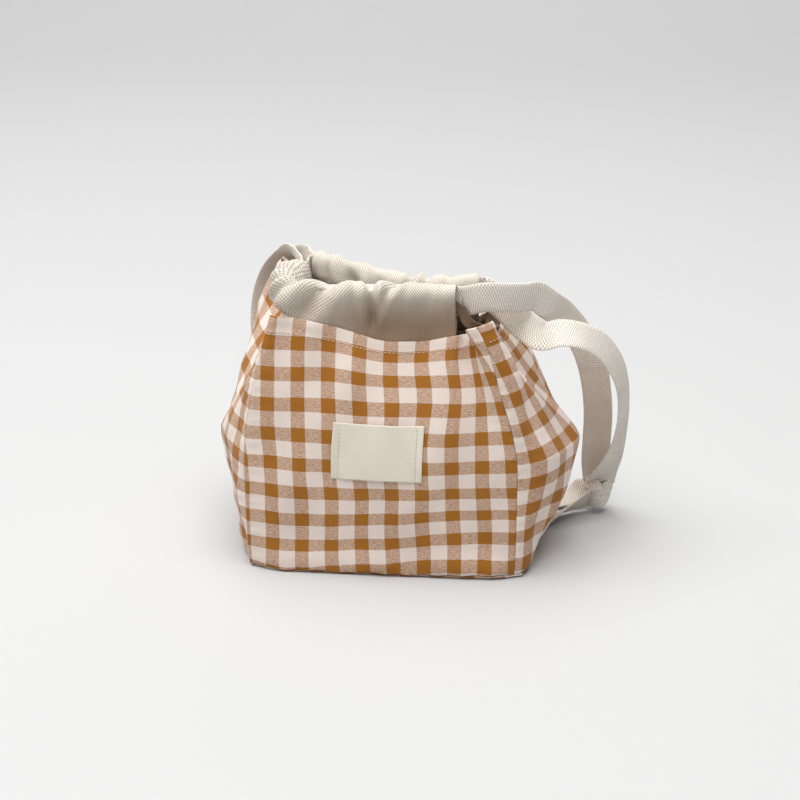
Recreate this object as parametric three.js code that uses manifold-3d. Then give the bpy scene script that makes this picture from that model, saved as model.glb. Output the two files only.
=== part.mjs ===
// Drawstring project bag: gingham walls on a box base, full lining, gathered canvas casings
// and two flat webbing drawstrings. Millimetres, +Z up, origin at the middle of the base.
import * as THREE from "three";
import { mergeVertices } from "three/addons/utils/BufferGeometryUtils.js";
import Module from "manifold-3d";

const wasm = await Module();
wasm.setup();

// Foot of the bag
const baseWidth = 188;
const baseDepth = 112;
const edgeRoll = 4; // radius of the rolled edge between the base and the walls

// Cloth
const clothThickness = 1.2; // gingham with its fused interlining
const liningThickness = 0.8;
const casingThickness = 0.8;
const seamGap = 0.3; // clearance between sewn pieces
const seamInset = 0.7 * seamGap; // how far a wall stops short of its seam line
const sharpestMitre = 0.4; // keeps the mitre of a tight ear from running away

// How far each wall swells past its foot, and where its cloth starts to lean in to the rim
const frontSwell = 8;
const backSwell = 10;
const leftSwell = 22;
const rightSwell = 33;
const leftSwellFall = 1.2; // the higher, the faster a gusset draws in above its widest place
const rightSwellFall = 2;
const panelSwellRise = 0.8; // the lower, the nearer the foot the front and back swell most
const gussetSwellRise = 0.7; // the lower, the faster a gusset swells from its foot
const swellSpread = 0.8; // the lower, the further a swell spreads to the seams
const swellHeight = 0.46; // share of the wall's height where the gussets stand out most
const leanStart = 0.42;
const leanPower = 1.7;
const backLeftBow = 15; // the rear left seam stands out sideways
const bowRise = 2.2; // the higher, the nearer the rim it stands out most
const rimHeight = 176; // height of the cloth before the drawn-up rim dips or peaks
const rimLean = 64; // how fast the walls lean in at the rim, over the whole height
const rimDipPower = 4; // the higher, the nearer the rim the dips stay

// Rim of the drawn-up mouth: share along the wall, then x, y and z
const frontRim = [
  [0, -75, -50, 180],
  [0.14, -53, -49, 177],
  [0.3, -27, -45.5, 170],
  [0.45, -2, -42.5, 162],
  [0.58, 22, -41.5, 162.5],
  [0.7, 45, -42, 167],
  [0.76, 51, -38.5, 167],
  [0.81, 56, -34.5, 167.5],
  [0.85, 57, -35, 168.5],
  [0.895, 53.5, -43.5, 171],
  [0.94, 51, -51, 174],
  [1, 59, -55, 178],
];
const rightRim = [
  [0, 59, -55, 178],
  [0.11, 70, -50, 181],
  [0.26, 69, -35, 172],
  [0.43, 66, -20, 161],
  [0.62, 72, -4, 160],
  [0.82, 80, 9, 168],
  [1, 84, 22, 178],
];
const backRim = [
  [0, 84, 22, 178],
  [0.12, 71, 8, 171],
  [0.225, 57, -3, 166],
  [0.34, 40, -7, 163],
  [0.5, 10, 2, 162],
  [0.7, -28, 18, 165],
  [0.86, -58, 34, 174],
  [1, -81, 47, 188],
];
const leftRim = [
  [0, -81, 47, 188],
  [0.15, -79, 33, 180],
  [0.35, -68, 16, 168],
  [0.5, -62, 1, 163],
  [0.66, -65, -16, 165],
  [0.85, -73, -36, 174],
  [1, -75, -50, 180],
];

// Casings: the channel's middle from end to end, with the share along the rim that carries it
const channelHalfHeight = 12.5;
const channelHalfDepth = 5.5;
const channelSquareness = 0.6; // 1 is an ellipse, less is flatter sided
const gatherDepth = 1.5;
const gatherCount = 5;
const hemDepth = 8; // how far a casing's hem reaches down behind the rim
const hemThickness = 1;
const frontChannel = [
  [45, -34, 188, 0.7],
  [20, -33, 188, 0.57],
  [-5, -34.5, 188, 0.43],
  [-30, -37, 188, 0.28],
  [-50, -40, 188, 0.16],
  [-64, -37, 188, 0.085],
  [-69, -26, 188, 0.06],
  [-67, -12, 188, 0.05],
  [-62, 2, 188, 0.04],
];
const backChannel = [
  [-53, 24, 188, 0.835],
  [-44, 17.5, 188, 0.785],
  [-30, 10.5, 187, 0.71],
  [-12, 2.5, 185, 0.615],
  [8, -5.5, 184, 0.51],
  [26, -12.5, 185, 0.41],
  [44, -16, 187, 0.31],
  [57, -13, 188, 0.225],
];

// Drawstrings of flat webbing
const webWidth = 20;
const webThickness = 1.4;
const webSpacing = 2.6; // between the middles of the two drawstrings inside a channel
const strandGap = 0.7; // between the end of a run and its free strand
const strandLead = 4; // straight length of a strand past its channel
const returnLead = 1.5; // straight length of a return past its channel
const knotSize = [19, 17, 29];
const knotClearance = 0.3;

// Label and stitching
const labelWidth = 60;
const labelHeight = 40;
const labelThickness = 0.5;
const labelAcross = 0.474; // share along the front wall of the label's middle
const labelUp = 0.515; // share of the wall's height of the label's middle
const labelStitchInset = 4.5;
const threadWidth = 0.6;
const threadThickness = 0.4;
const threadGap = 0.35; // stitching stands this far off the cloth
const threadEnd = 0.01; // share of a wall left clear at each end of its topstitching
const rimStitchDrop = 7; // rim edge down to the topstitching

const gingham = new THREE.Color(0.72, 0.52, 0.34);
const canvas = new THREE.Color(0.78, 0.75, 0.69);
const cream = new THREE.Color(0.9, 0.87, 0.77);
const pinkWhite = new THREE.Color(0.86, 0.76, 0.73);

const vector = (x, y, z) => new THREE.Vector3(x, y, z);
const up = vector(0, 0, 1);

// The four walls in order round the bag, each from its first foot corner to its second
const walls = {
  front: { from: [-1, -1], to: [1, -1], out: [0, -1], swell: frontSwell, rim: frontRim },
  right: { from: [1, -1], to: [1, 1], out: [1, 0], swell: rightSwell, fall: rightSwellFall, rim: rightRim },
  back: { from: [1, 1], to: [-1, 1], out: [0, 1], swell: backSwell, rim: backRim },
  left: { from: [-1, 1], to: [-1, -1], out: [-1, 0], swell: leftSwell, fall: leftSwellFall, rim: leftRim },
};
const wallOrder = ["front", "right", "back", "left"];
const wallFoot = edgeRoll + seamGap;
const liningDepth = clothThickness + seamGap;

// Smooth curve through rows of [share, ...values]
function curveAt(rows, share) {
  let i = 0;
  while (i < rows.length - 2 && share > rows[i + 1][0]) i++;
  const before = rows[Math.max(i - 1, 0)];
  const start = rows[i];
  const end = rows[i + 1];
  const after = rows[Math.min(i + 2, rows.length - 1)];
  const span = end[0] - start[0];
  const t = (share - start[0]) / span;
  const values = [];
  for (let k = 1; k < start.length; k++) {
    const leave = ((end[k] - before[k]) / (end[0] - before[0])) * span;
    const arrive = ((after[k] - start[k]) / (after[0] - start[0])) * span;
    const blend = t * t * (3 - 2 * t);
    const pull = leave * t * (1 - t) * (1 - t) - arrive * t * t * (1 - t);
    values.push(start[k] + (end[k] - start[k]) * blend + pull);
  }
  return values;
}

// A gusset swells to a crease at swellHeight; the front and back swell in one even curve
function swellShare(wall, height) {
  if (wall.out[0] === 0) return Math.sin(Math.PI * Math.pow(height, panelSwellRise));
  if (height < swellHeight) {
    return Math.pow(Math.sin((Math.PI / 2) * (height / swellHeight)), gussetSwellRise);
  }
  return Math.pow((1 - height) / (1 - swellHeight), wall.fall);
}

// A point on a wall's outer face: share along it, and share of its height
function wallPoint(name, across, height) {
  const wall = walls[name];
  const footX = ((wall.from[0] + (wall.to[0] - wall.from[0]) * across) * baseWidth) / 2;
  const footY = ((wall.from[1] + (wall.to[1] - wall.from[1]) * across) * baseDepth) / 2;
  const [rimX, rimY, rimZ] = curveAt(wall.rim, across);
  const lean = Math.pow(Math.max(0, (height - leanStart) / (1 - leanStart)), leanPower);
  const belly = Math.pow(Math.sin(Math.PI * across), swellSpread);
  const stand = wall.swell * belly * swellShare(wall, height);
  const nearBackLeft = name === "back" ? across : name === "left" ? 1 - across : 0;
  const bow = backLeftBow * nearBackLeft * nearBackLeft * Math.sin(Math.PI * Math.pow(height, bowRise));
  return vector(
    footX + (rimX - footX) * lean + wall.out[0] * stand - bow,
    footY + (rimY - footY) * lean + wall.out[1] * stand,
    wallFoot + (rimHeight - wallFoot) * height + (rimZ - rimHeight) * Math.pow(height, rimDipPower),
  );
}

function wallInward(name, across, height) {
  const step = 1e-3; // share over which a slope is measured
  const left = Math.max(across - step, 0);
  const right = Math.min(across + step, 1);
  const low = Math.max(height - step, 0);
  const high = Math.min(height + step, 1);
  const along = wallPoint(name, right, height).sub(wallPoint(name, left, height));
  const rise = wallPoint(name, across, high).sub(wallPoint(name, across, low));
  return rise.cross(along).normalize();
}

// Direction in which every layer of a wall is set in, mitred where two walls meet
function layerDirection(name, across, height) {
  const own = wallInward(name, across, height);
  if (across > 0 && across < 1) return own;
  const place = wallOrder.indexOf(name);
  const beside = wallOrder[(place + (across === 0 ? 3 : 1)) % 4];
  const other = wallInward(beside, 1 - across, height);
  return own.clone().add(other).divideScalar(Math.max(1 + own.dot(other), sharpestMitre));
}

// A point set in from a wall's outer face; the wall's ends stop short of the seam line
function layerPoint(name, across, height, depth) {
  const length = walls[name].out[0] === 0 ? baseWidth : baseDepth;
  const inset = seamInset / length;
  const kept = Math.min(Math.max(across, inset), 1 - inset);
  return wallPoint(name, kept, height).addScaledVector(layerDirection(name, across, height), depth);
}

function solidFrom(points, triangles) {
  const geometry = new THREE.BufferGeometry().setFromPoints(points);
  geometry.setIndex(triangles.flat());
  geometry.computeVertexNormals();
  return geometry;
}

// Closed cloth between two grids of points, rows bottom to top and columns left to right outside
function clothSolid(outer, inner) {
  const rows = outer.length;
  const columns = outer[0].length;
  const points = [...outer.flat(), ...inner.flat()];
  const at = (layer, row, column) => (layer * rows + row) * columns + column;
  const triangles = [];
  const quad = (a, b, c, d) => triangles.push([a, b, c], [a, c, d]);
  for (let r = 0; r < rows - 1; r++) {
    for (let c = 0; c < columns - 1; c++) {
      quad(at(0, r, c), at(0, r, c + 1), at(0, r + 1, c + 1), at(0, r + 1, c));
      quad(at(1, r, c), at(1, r + 1, c), at(1, r + 1, c + 1), at(1, r, c + 1));
    }
  }
  for (let c = 0; c < columns - 1; c++) {
    quad(at(0, 0, c), at(1, 0, c), at(1, 0, c + 1), at(0, 0, c + 1));
    quad(at(0, rows - 1, c), at(0, rows - 1, c + 1), at(1, rows - 1, c + 1), at(1, rows - 1, c));
  }
  for (let r = 0; r < rows - 1; r++) {
    quad(at(0, r, 0), at(0, r + 1, 0), at(1, r + 1, 0), at(1, r, 0));
    quad(at(0, r, columns - 1), at(1, r, columns - 1), at(1, r + 1, columns - 1), at(0, r + 1, columns - 1));
  }
  return solidFrom(points, triangles);
}

// A loft through closed sections, with a bore when holes are given; ends are filled flat
function loftSolid(sections, holes, outline, boreOutline) {
  const rings = sections.length;
  const sides = sections[0].length;
  const boreSides = holes ? holes[0].length : 0;
  const points = [...sections.flat(), ...(holes ? holes.flat() : [])];
  const triangles = [];
  const rim = (ring, k) => ring * sides + (k % sides);
  const bore = (ring, k) => rings * sides + ring * boreSides + (k % boreSides);
  for (let i = 0; i < rings - 1; i++) {
    for (let k = 0; k < sides; k++) {
      triangles.push([rim(i, k), rim(i, k + 1), rim(i + 1, k + 1)]);
      triangles.push([rim(i, k), rim(i + 1, k + 1), rim(i + 1, k)]);
    }
    for (let k = 0; k < boreSides; k++) {
      triangles.push([bore(i, k), bore(i + 1, k + 1), bore(i, k + 1)]);
      triangles.push([bore(i, k), bore(i + 1, k), bore(i + 1, k + 1)]);
    }
  }
  const faces = THREE.ShapeUtils.triangulateShape(outline, boreOutline ? [boreOutline] : []);
  const corner = (ring, k) => (k < sides ? rim(ring, k) : bore(ring, k - sides));
  for (const [a, b, c] of faces) {
    triangles.push([corner(0, a), corner(0, c), corner(0, b)]);
    triangles.push([corner(rings - 1, a), corner(rings - 1, b), corner(rings - 1, c)]);
  }
  return solidFrom(points, triangles);
}

const bag = new THREE.Group();
bag.name = "project_bag";

function addPiece(name, geometry, colour, roughness = 0.9) {
  const material = new THREE.MeshStandardMaterial({ color: colour, roughness, metalness: 0 });
  const mesh = new THREE.Mesh(geometry, material);
  mesh.name = name;
  bag.add(mesh);
}

// Stations along the walls, closer where the cloth folds
const acrossStations = {
  front: [
    0, 0.06, 0.14, 0.22, 0.3, 0.38, 0.46, 0.54, 0.62, 0.7,
    0.73, 0.76, 0.785, 0.81, 0.83, 0.85, 0.87, 0.895, 0.94, 0.97, 1,
  ],
  right: [0, 0.055, 0.11, 0.18, 0.26, 0.35, 0.43, 0.52, 0.62, 0.72, 0.82, 0.91, 1],
  back: [0, 0.06, 0.12, 0.17, 0.225, 0.28, 0.34, 0.42, 0.5, 0.6, 0.7, 0.78, 0.86, 0.93, 1],
  left: [0, 0.07, 0.15, 0.25, 0.35, 0.43, 0.5, 0.58, 0.66, 0.75, 0.85, 0.93, 1],
};
const heightStations = [0, 0.08, 0.18, 0.3, 0.4, 0.46, 0.55, 0.66, 0.76, 0.86];

// Share of a wall's height that lies a given distance below its rim, measured up the cloth
function heightBelowRim(name, drop) {
  const lowest = Math.min(...walls[name].rim.map((row) => row[3]));
  const risePerHeight = rimHeight - wallFoot - rimDipPower * (rimHeight - lowest);
  return 1 - drop / Math.hypot(risePerHeight, rimLean);
}

// Every layer of a wall shares its stations, so that no layer cuts a corner through another
function wallLayer(name, depth, top) {
  const stitched = heightBelowRim(name, rimStitchDrop);
  const heights = [...heightStations, ...(top > stitched ? [stitched, top] : [top])];
  return heights.map((height) =>
    acrossStations[name].map((across) => layerPoint(name, across, height, depth)),
  );
}

function addWalls() {
  const pieceNames = { front: "front_panel", right: "right_gusset", back: "back_panel", left: "left_gusset" };
  for (const name of wallOrder) {
    const outer = wallLayer(name, 0, 1);
    const inner = wallLayer(name, clothThickness, 1);
    addPiece(pieceNames[name], clothSolid(outer, inner), gingham);
  }
}

function addLining() {
  for (const name of wallOrder) {
    const carriesCasing = name === "front" || name === "back";
    const top = heightBelowRim(name, carriesCasing ? hemDepth + seamGap : seamGap + liningThickness);
    const outer = wallLayer(name, liningDepth, top);
    const inner = wallLayer(name, liningDepth + liningThickness, top);
    addPiece("lining_" + name, clothSolid(outer, inner), canvas);
  }
}

// A shallow tray whose edges roll up to meet the walls, set in by a depth
function trayGrid(depth) {
  const rollAngles = [90, 45, 0].map((degrees) => (degrees * Math.PI) / 180);
  const flatShares = [0.5];
  const profile = (length) => {
    const rolled = rollAngles.map((angle) => [
      edgeRoll - (edgeRoll - depth) * Math.sin(angle),
      edgeRoll - (edgeRoll - depth) * Math.cos(angle),
    ]);
    const first = rolled.map(([inset, rise]) => [inset - length / 2, rise]);
    const flat = flatShares.map((share) => [(share - 0.5) * (length - 2 * edgeRoll), depth]);
    const last = rolled.map(([inset, rise]) => [length / 2 - inset, rise]).reverse();
    return [...first, ...flat, ...last];
  };
  const rows = profile(baseDepth).reverse();
  return rows.map(([y, riseY]) =>
    profile(baseWidth).map(([x, riseX]) => vector(x, y, Math.max(riseX, riseY))),
  );
}

function addBase() {
  addPiece("base_panel", clothSolid(trayGrid(0), trayGrid(clothThickness)), gingham);
  const liningTray = clothSolid(trayGrid(liningDepth), trayGrid(liningDepth + liningThickness));
  addPiece("lining_base", liningTray, canvas);
}

// Curve through a channel's middle, sampled with its direction, outer side and rim share
function channelSamples(channel, stepsPerSpan) {
  const middles = channel.map(([x, y, z]) => vector(x, y, z));
  const path = new THREE.CatmullRomCurve3(middles);
  const count = (channel.length - 1) * stepsPerSpan;
  const samples = [];
  for (let i = 0; i <= count; i++) {
    const t = i / count;
    const along = path.getTangent(t);
    const outward = up.clone().cross(along).normalize();
    const span = Math.min(Math.floor(t * (channel.length - 1)), channel.length - 2);
    const within = t * (channel.length - 1) - span;
    const share = channel[span][3] + (channel[span + 1][3] - channel[span][3]) * within;
    samples.push({ t, middle: path.getPoint(t), outward, share });
  }
  return samples;
}

// Draws a circle's value towards its ends, for a ring that is flatter than an ellipse
const squared = (value) => Math.sign(value) * Math.pow(Math.abs(value), channelSquareness);

// Ring of points round a channel's middle, from one angle to another
function channelRing(sample, halfDepth, halfHeight, fromDegrees, toDegrees, count) {
  const ring = [];
  for (let k = 0; k < count; k++) {
    const angle = ((fromDegrees + ((toDegrees - fromDegrees) * k) / (count - 1)) * Math.PI) / 180;
    const point = sample.middle.clone();
    point.addScaledVector(sample.outward, halfDepth * squared(Math.cos(angle)));
    point.addScaledVector(up, halfHeight * squared(Math.sin(angle)));
    ring.push(point);
  }
  return ring;
}

// A casing: a gathered tube on a flat hem that is sewn in behind the rim
function casingSolid(wallName, channel) {
  const boreCount = 10;
  const hemFoot = heightBelowRim(wallName, hemDepth);
  const sections = [];
  const holes = [];
  const samples = channelSamples(channel, 3);
  for (const sample of samples) {
    const puff = gatherDepth * Math.cos(2 * Math.PI * gatherCount * sample.t);
    const halfDepth = channelHalfDepth + puff;
    const hem = (height, depth) => layerPoint(wallName, sample.share, height, depth);
    sections.push([
      hem(hemFoot, liningDepth),
      hem(1, liningDepth),
      ...channelRing(sample, halfDepth, channelHalfHeight, -60, 240, 11),
      hem(1, liningDepth + hemThickness),
      hem(hemFoot, liningDepth + hemThickness),
    ]);
    const boreDepth = halfDepth - casingThickness;
    const boreHeight = channelHalfHeight - casingThickness;
    const boreStep = 360 / boreCount;
    holes.push(channelRing(sample, boreDepth, boreHeight, 0, 360 - boreStep, boreCount));
  }
  const flatten = (ring, sample) =>
    ring.map((p) => {
      const offset = p.clone().sub(sample.middle);
      return new THREE.Vector2(offset.dot(sample.outward), offset.z);
    });
  return loftSolid(sections, holes, flatten(sections[0], samples[0]), flatten(holes[0], samples[0]));
}

function addCasings() {
  addPiece("front_casing", casingSolid("front", frontChannel), canvas);
  addPiece("back_casing", casingSolid("back", backChannel), canvas);
}

// Flat webbing along a route
function ribbon(route, width, thickness, stepsPerSpan = 3) {
  const middles = new THREE.CatmullRomCurve3(route.map(([place]) => vector(...place)));
  const acrosses = new THREE.CatmullRomCurve3(route.map(([, across]) => vector(...across)));
  const shares = route.map(([, , share = 1], i) => [i / (route.length - 1), share]);
  const count = (route.length - 1) * stepsPerSpan;
  const sections = [];
  for (let i = 0; i <= count; i++) {
    const t = i / count;
    const middle = middles.getPoint(t);
    const along = middles.getTangent(t);
    const across = acrosses.getPoint(t);
    const [share] = curveAt(shares, t);
    across.addScaledVector(along, -across.dot(along)).setLength((width * share) / 2);
    const facing = along.clone().cross(across).setLength(thickness / 2);
    sections.push([
      middle.clone().add(across).add(facing),
      middle.clone().sub(across).add(facing),
      middle.clone().sub(across).sub(facing),
      middle.clone().add(across).sub(facing),
    ]);
  }
  const outline = [
    new THREE.Vector2(1, 1),
    new THREE.Vector2(-1, 1),
    new THREE.Vector2(-1, -1),
    new THREE.Vector2(1, -1),
  ];
  return loftSolid(sections, null, outline, null);
}

// Route of a drawstring inside a channel, to the outer or inner side of its middle
function channelRoute(channel, side) {
  return channelSamples(channel, 1).map((sample) => [
    sample.middle.clone().addScaledVector(sample.outward, (side * webSpacing) / 2).toArray(),
    [0, 0, 1],
  ]);
}

// Routes list a place, the direction across the webbing there, and its share of the full width.
// The right drawstring returns at the left, standing on edge inside the other's strands
const leftReturn = [
  [[-58.8, 9, 188], [0, 0, 1]],
  [[-58.8, 17, 188], [0, 0, 1]],
  [[-58.4, 23, 188], [0, 0, 1]],
];
// The left drawstring returns at the right, bunched and folded under the other's strands;
// it leaves the front channel low
const rightLeave = [[46.5, -35.1, 183.6], [0, 0, 1], 0.36];
const rightReturn = [
  [[51, -35, 176.2], [0.3, 0, 0.9], 0.34],
  [[54.8, -32.4, 171.6], [0.5, 0, 0.8], 0.34],
  [[59, -28.5, 168.8], [0.75, -0.2, 0.5], 0.4],
  [[63.8, -23.5, 167], [0.9, -0.25, 0.3], 0.45],
  [[67, -18, 165.5], [0.97, -0.1, 0.15], 0.5],
  [[67.5, -11, 165], [0.97, 0.1, 0.15], 0.5],
  [[67.5, -5.5, 172], [0.7, 0.4, 0.6], 0.5],
  [[65, -6, 181.5], [0.2, 0.2, 0.95], 0.6],
];
const rightFrontTurns = [
  [[63, -34, 191.5], [0, 0, 1]],
  [[76, -31, 190.5], [0.03, 0, 1]],
  [[87, -24.5, 188.5], [0.06, 0.02, 1]],
  [[95.5, -16.5, 187], [0.15, 0.1, 0.98]],
  [[104, -9.5, 179], [0.3, 0.25, 0.9]],
  [[113, -1, 170], [0.45, 0.45, 0.75]],
  [[121, 7, 158], [0.6, 0.5, 0.6]],
  [[128.5, 15, 143], [0.8, 0.4, 0.4]],
  [[134.5, 22.5, 125.5], [0.95, 0.15, 0.25]],
  [[138.5, 31, 103.5], [1, -0.03, 0.1]],
  [[140.5, 39, 80.5], [1, -0.05, 0.02]],
  [[140.5, 46.5, 58], [1, 0, -0.05]],
  [[140.5, 53, 40], [0.95, 0.1, -0.05]],
  [[142, 56, 24], [0.95, 0.2, 0]],
];
const rightBackTurns = [
  [[70, -13.5, 182], [0.25, 0, 0.97]],
  [[79, -14.5, 175], [0.2, 0.1, 0.97]],
  [[89, -16.5, 166], [0.1, 0.25, 0.95]],
  [[100, -22.5, 162], [0.05, 0.6, 0.8]],
  [[112, -22.5, 164.5], [0.05, 0.75, 0.66]],
  [[124, -18.5, 162], [0.15, 0.8, 0.58]],
  [[138, -10, 153], [0.32, 0.8, 0.5]],
  [[149, -2, 137], [0.38, 0.85, 0.36]],
  [[155, 8, 118], [0.36, 0.91, 0.18]],
  [[157, 18.5, 94], [0.38, 0.92, 0.08]],
  [[155.5, 29, 69], [0.48, 0.87, 0]],
  [[151, 39.5, 46], [0.75, 0.6, 0]],
  [[146.5, 47, 32], [0.92, 0.3, 0]],
  [[145, 49.5, 24], [0.95, 0.2, 0]],
];
const rightKnotPlace = [143.5, 52.5, 18];
const rightFrontTail = [
  [[140, 49.5, 13], [0.35, -0.15, 0.9]],
  [[132, 44.5, 11.2], [0.4, -0.35, 0.85]],
  [[123, 37.5, 8.8], [0.35, -0.6, 0.7]],
  [[114, 31, 5.8], [0.3, -0.8, 0.5]],
  [[106.5, 27.5, 3.4], [0.25, -0.95, 0.2]],
  [[101, 25.5, 2.4], [0.2, -0.98, 0.1]],
];
const rightBackTail = [
  [[139.5, 57.5, 13], [0.3, 0.05, 0.95]],
  [[131, 59.5, 10.8], [0.2, 0.3, 0.85]],
  [[121.5, 61, 6], [0.1, 0.9, 0.3]],
  [[111, 60, 2.6], [-0.3, 0.95, 0.05]],
  [[101, 56, 1.7], [-0.4, 0.9, 0]],
];
const leftFrontTurns = [
  [[-63, 14, 190], [0, 0, 1]],
  [[-66.5, 25, 190.5], [0.05, -0.5, 0.85]],
  [[-70, 36, 191.3], [0.1, -0.85, 0.5]],
  [[-74.5, 46.5, 190.3], [0, -0.8, 0.6]],
  [[-81, 56, 182.5], [-0.4, -0.45, 0.75]],
  [[-88.5, 62.5, 172.5], [-0.7, -0.2, 0.6]],
  [[-94.5, 66, 159.5], [-0.87, 0, 0.38]],
  [[-98.5, 68.5, 143], [-0.95, 0.1, 0.15]],
  [[-99.5, 71, 120], [-1, 0, 0]],
  [[-98, 74.5, 92], [-1, 0, 0]],
  [[-95, 78, 64], [-1, 0, 0]],
  [[-92, 81.5, 40], [-0.97, 0.1, 0]],
  [[-91, 84, 24], [-0.97, 0.1, 0]],
];
const leftBackTurns = [
  [[-59.5, 34.5, 187.5], [0, 0, 1]],
  [[-62.5, 45, 187], [0, -0.1, 1]],
  [[-68.5, 56, 184], [0, -0.1, 1]],
  [[-76.5, 64.5, 177.5], [-0.3, -0.1, 0.9]],
  [[-84, 71, 168.5], [-0.65, 0, 0.7]],
  [[-89, 75.5, 156], [-0.85, 0.1, 0.35]],
  [[-91, 78.5, 138], [-0.97, 0.1, 0.1]],
  [[-91, 81.5, 112], [-1, 0, 0]],
  [[-90, 85, 82], [-1, 0, 0]],
  [[-89, 88, 54], [-1, 0, 0]],
  [[-88.5, 90, 34], [-0.97, 0.1, 0]],
  [[-88.5, 91, 24], [-0.97, 0.1, 0]],
];
const leftKnotPlace = [-89.8, 87.5, 18];
const leftFrontTail = [
  [[-86, 88.5, 13], [0.2, -0.4, 0.85]],
  [[-77.5, 91, 11.2], [0.2, -0.45, 0.8]],
  [[-68, 95, 6.8], [0.15, -0.85, 0.4]],
  [[-57, 99, 2.2], [0.1, -0.98, 0.06]],
  [[-45, 101, 1.6], [0, -1, 0]],
];
const leftBackTail = [
  [[-92, 93, 12.5], [-0.1, -0.3, 0.95]],
  [[-94, 101, 11], [-0.4, -0.2, 0.85]],
  [[-95, 110, 6.5], [-0.9, -0.1, 0.4]],
  [[-94, 120, 2.4], [-1, 0, 0.05]],
  [[-91, 130, 1.8], [-1, 0, 0]],
];

function solidOf(geometry) {
  const bare = geometry.index ? geometry.clone() : geometry.toNonIndexed();
  bare.deleteAttribute("normal");
  bare.deleteAttribute("uv");
  const merged = mergeVertices(bare, 1e-4);
  return new wasm.Manifold(
    new wasm.Mesh({
      numProp: 3,
      vertProperties: new Float32Array(merged.getAttribute("position").array),
      triVerts: new Uint32Array(merged.index.array),
    }),
  );
}

function geometryOf(solid) {
  const mesh = solid.getMesh();
  const geometry = new THREE.BufferGeometry();
  geometry.setAttribute("position", new THREE.BufferAttribute(new Float32Array(mesh.vertProperties), 3));
  geometry.setIndex(new THREE.BufferAttribute(new Uint32Array(mesh.triVerts), 1));
  geometry.computeVertexNormals();
  return geometry;
}

// A knot: a rounded lump with a slot for each length of webbing that enters it
function knotSolid(place, routes) {
  const lump = new THREE.SphereGeometry(0.5, 12, 8);
  lump.scale(...knotSize);
  lump.translate(...place);
  let knot = solidOf(lump);
  const slotWidth = webWidth + 2 * knotClearance;
  const slotThickness = webThickness + 2 * knotClearance;
  for (const route of routes) {
    knot = knot.subtract(solidOf(ribbon(route, slotWidth, slotThickness)));
  }
  return geometryOf(knot);
}

// The place a distance straight on from where webbing leaves a channel
function onward(end, before, distance) {
  const leave = vector(...end).sub(vector(...before)).normalize();
  return vector(...end).addScaledVector(leave, distance).toArray();
}

// A free strand goes straight on from its run, then takes its turns
function strandRoute(end, before, turns) {
  const upright = up.toArray();
  const start = onward(end, before, strandGap);
  const lead = onward(end, before, strandLead);
  return [[start, upright], [lead, upright], ...turns];
}

// A whole run: one channel, a return that leads straight out of it and into the next, the next
function runRoute(first, turn, second) {
  const [end, across, share = 1] = first.at(-1);
  const leave = onward(end, first.at(-2)[0], returnLead);
  const arrive = onward(second[0][0], second[1][0], returnLead);
  return [...first, [leave, across, share], ...turn, [arrive, up.toArray()], ...second];
}

function addDrawstrings() {
  const outerSide = 1;
  const innerSide = -1;
  const frontInner = channelRoute(frontChannel, innerSide);
  const frontOuter = [...channelRoute(frontChannel, outerSide).slice(1).reverse(), rightLeave];
  const backInner = channelRoute(backChannel, innerSide);
  const backOuter = channelRoute(backChannel, outerSide).reverse();
  const runs = {
    right: runRoute(frontInner, leftReturn, backInner),
    left: runRoute(frontOuter, rightReturn, backOuter),
  };
  const loops = {
    right: [rightFrontTurns, rightBackTurns, rightKnotPlace, rightFrontTail, rightBackTail],
    left: [leftFrontTurns, leftBackTurns, leftKnotPlace, leftFrontTail, leftBackTail],
  };
  for (const [side, [frontTurns, backTurns, place, frontTail, backTail]] of Object.entries(loops)) {
    const places = runs[side].map(([at]) => at);
    const frontStrand = strandRoute(places[0], places[1], frontTurns);
    const backStrand = strandRoute(places.at(-1), places.at(-2), backTurns);
    addPiece(side + "_cord_run", ribbon(runs[side], webWidth, webThickness), canvas);
    addPiece(side + "_front_strand", ribbon(frontStrand, webWidth, webThickness), canvas);
    addPiece(side + "_back_strand", ribbon(backStrand, webWidth, webThickness), canvas);
    addPiece(side + "_front_tail", ribbon(frontTail, webWidth, webThickness), canvas);
    addPiece(side + "_back_tail", ribbon(backTail, webWidth, webThickness), canvas);
    addPiece(side + "_knot", knotSolid(place, [frontStrand, backStrand, frontTail, backTail]), canvas);
  }
}

// A patch that lies on a wall's outer face between two shares each way, standing off it
function patch(name, acrosses, heights, offFrom, offTo) {
  const grid = (off) =>
    heights.map((height) => acrosses.map((across) => layerPoint(name, across, height, -off)));
  return clothSolid(grid(offTo), grid(offFrom));
}

function evenly(from, to, count) {
  return Array.from({ length: count + 1 }, (_, i) => from + ((to - from) * i) / count);
}

function addLabel() {
  const halfAcross = labelWidth / baseWidth / 2;
  const halfUp = labelHeight / (rimHeight - wallFoot) / 2;
  const heights = evenly(labelUp - halfUp, labelUp + halfUp, 6);
  const acrosses = evenly(labelAcross - halfAcross, labelAcross + halfAcross, 8);
  const top = seamGap + labelThickness;
  addPiece("label", patch("front", acrosses, heights, seamGap, top), cream);
  const stitchOff = (labelWidth / 2 - labelStitchInset) / baseWidth;
  const halfThread = threadWidth / baseWidth / 2;
  for (const [side, sign] of [["left", -1], ["right", 1]]) {
    const middle = labelAcross + sign * stitchOff;
    const columns = [middle - halfThread, middle + halfThread];
    const thread = patch("front", columns, heights, top + seamGap, top + seamGap + threadThickness);
    addPiece("label_thread_" + side, thread, cream);
  }
}

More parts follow.
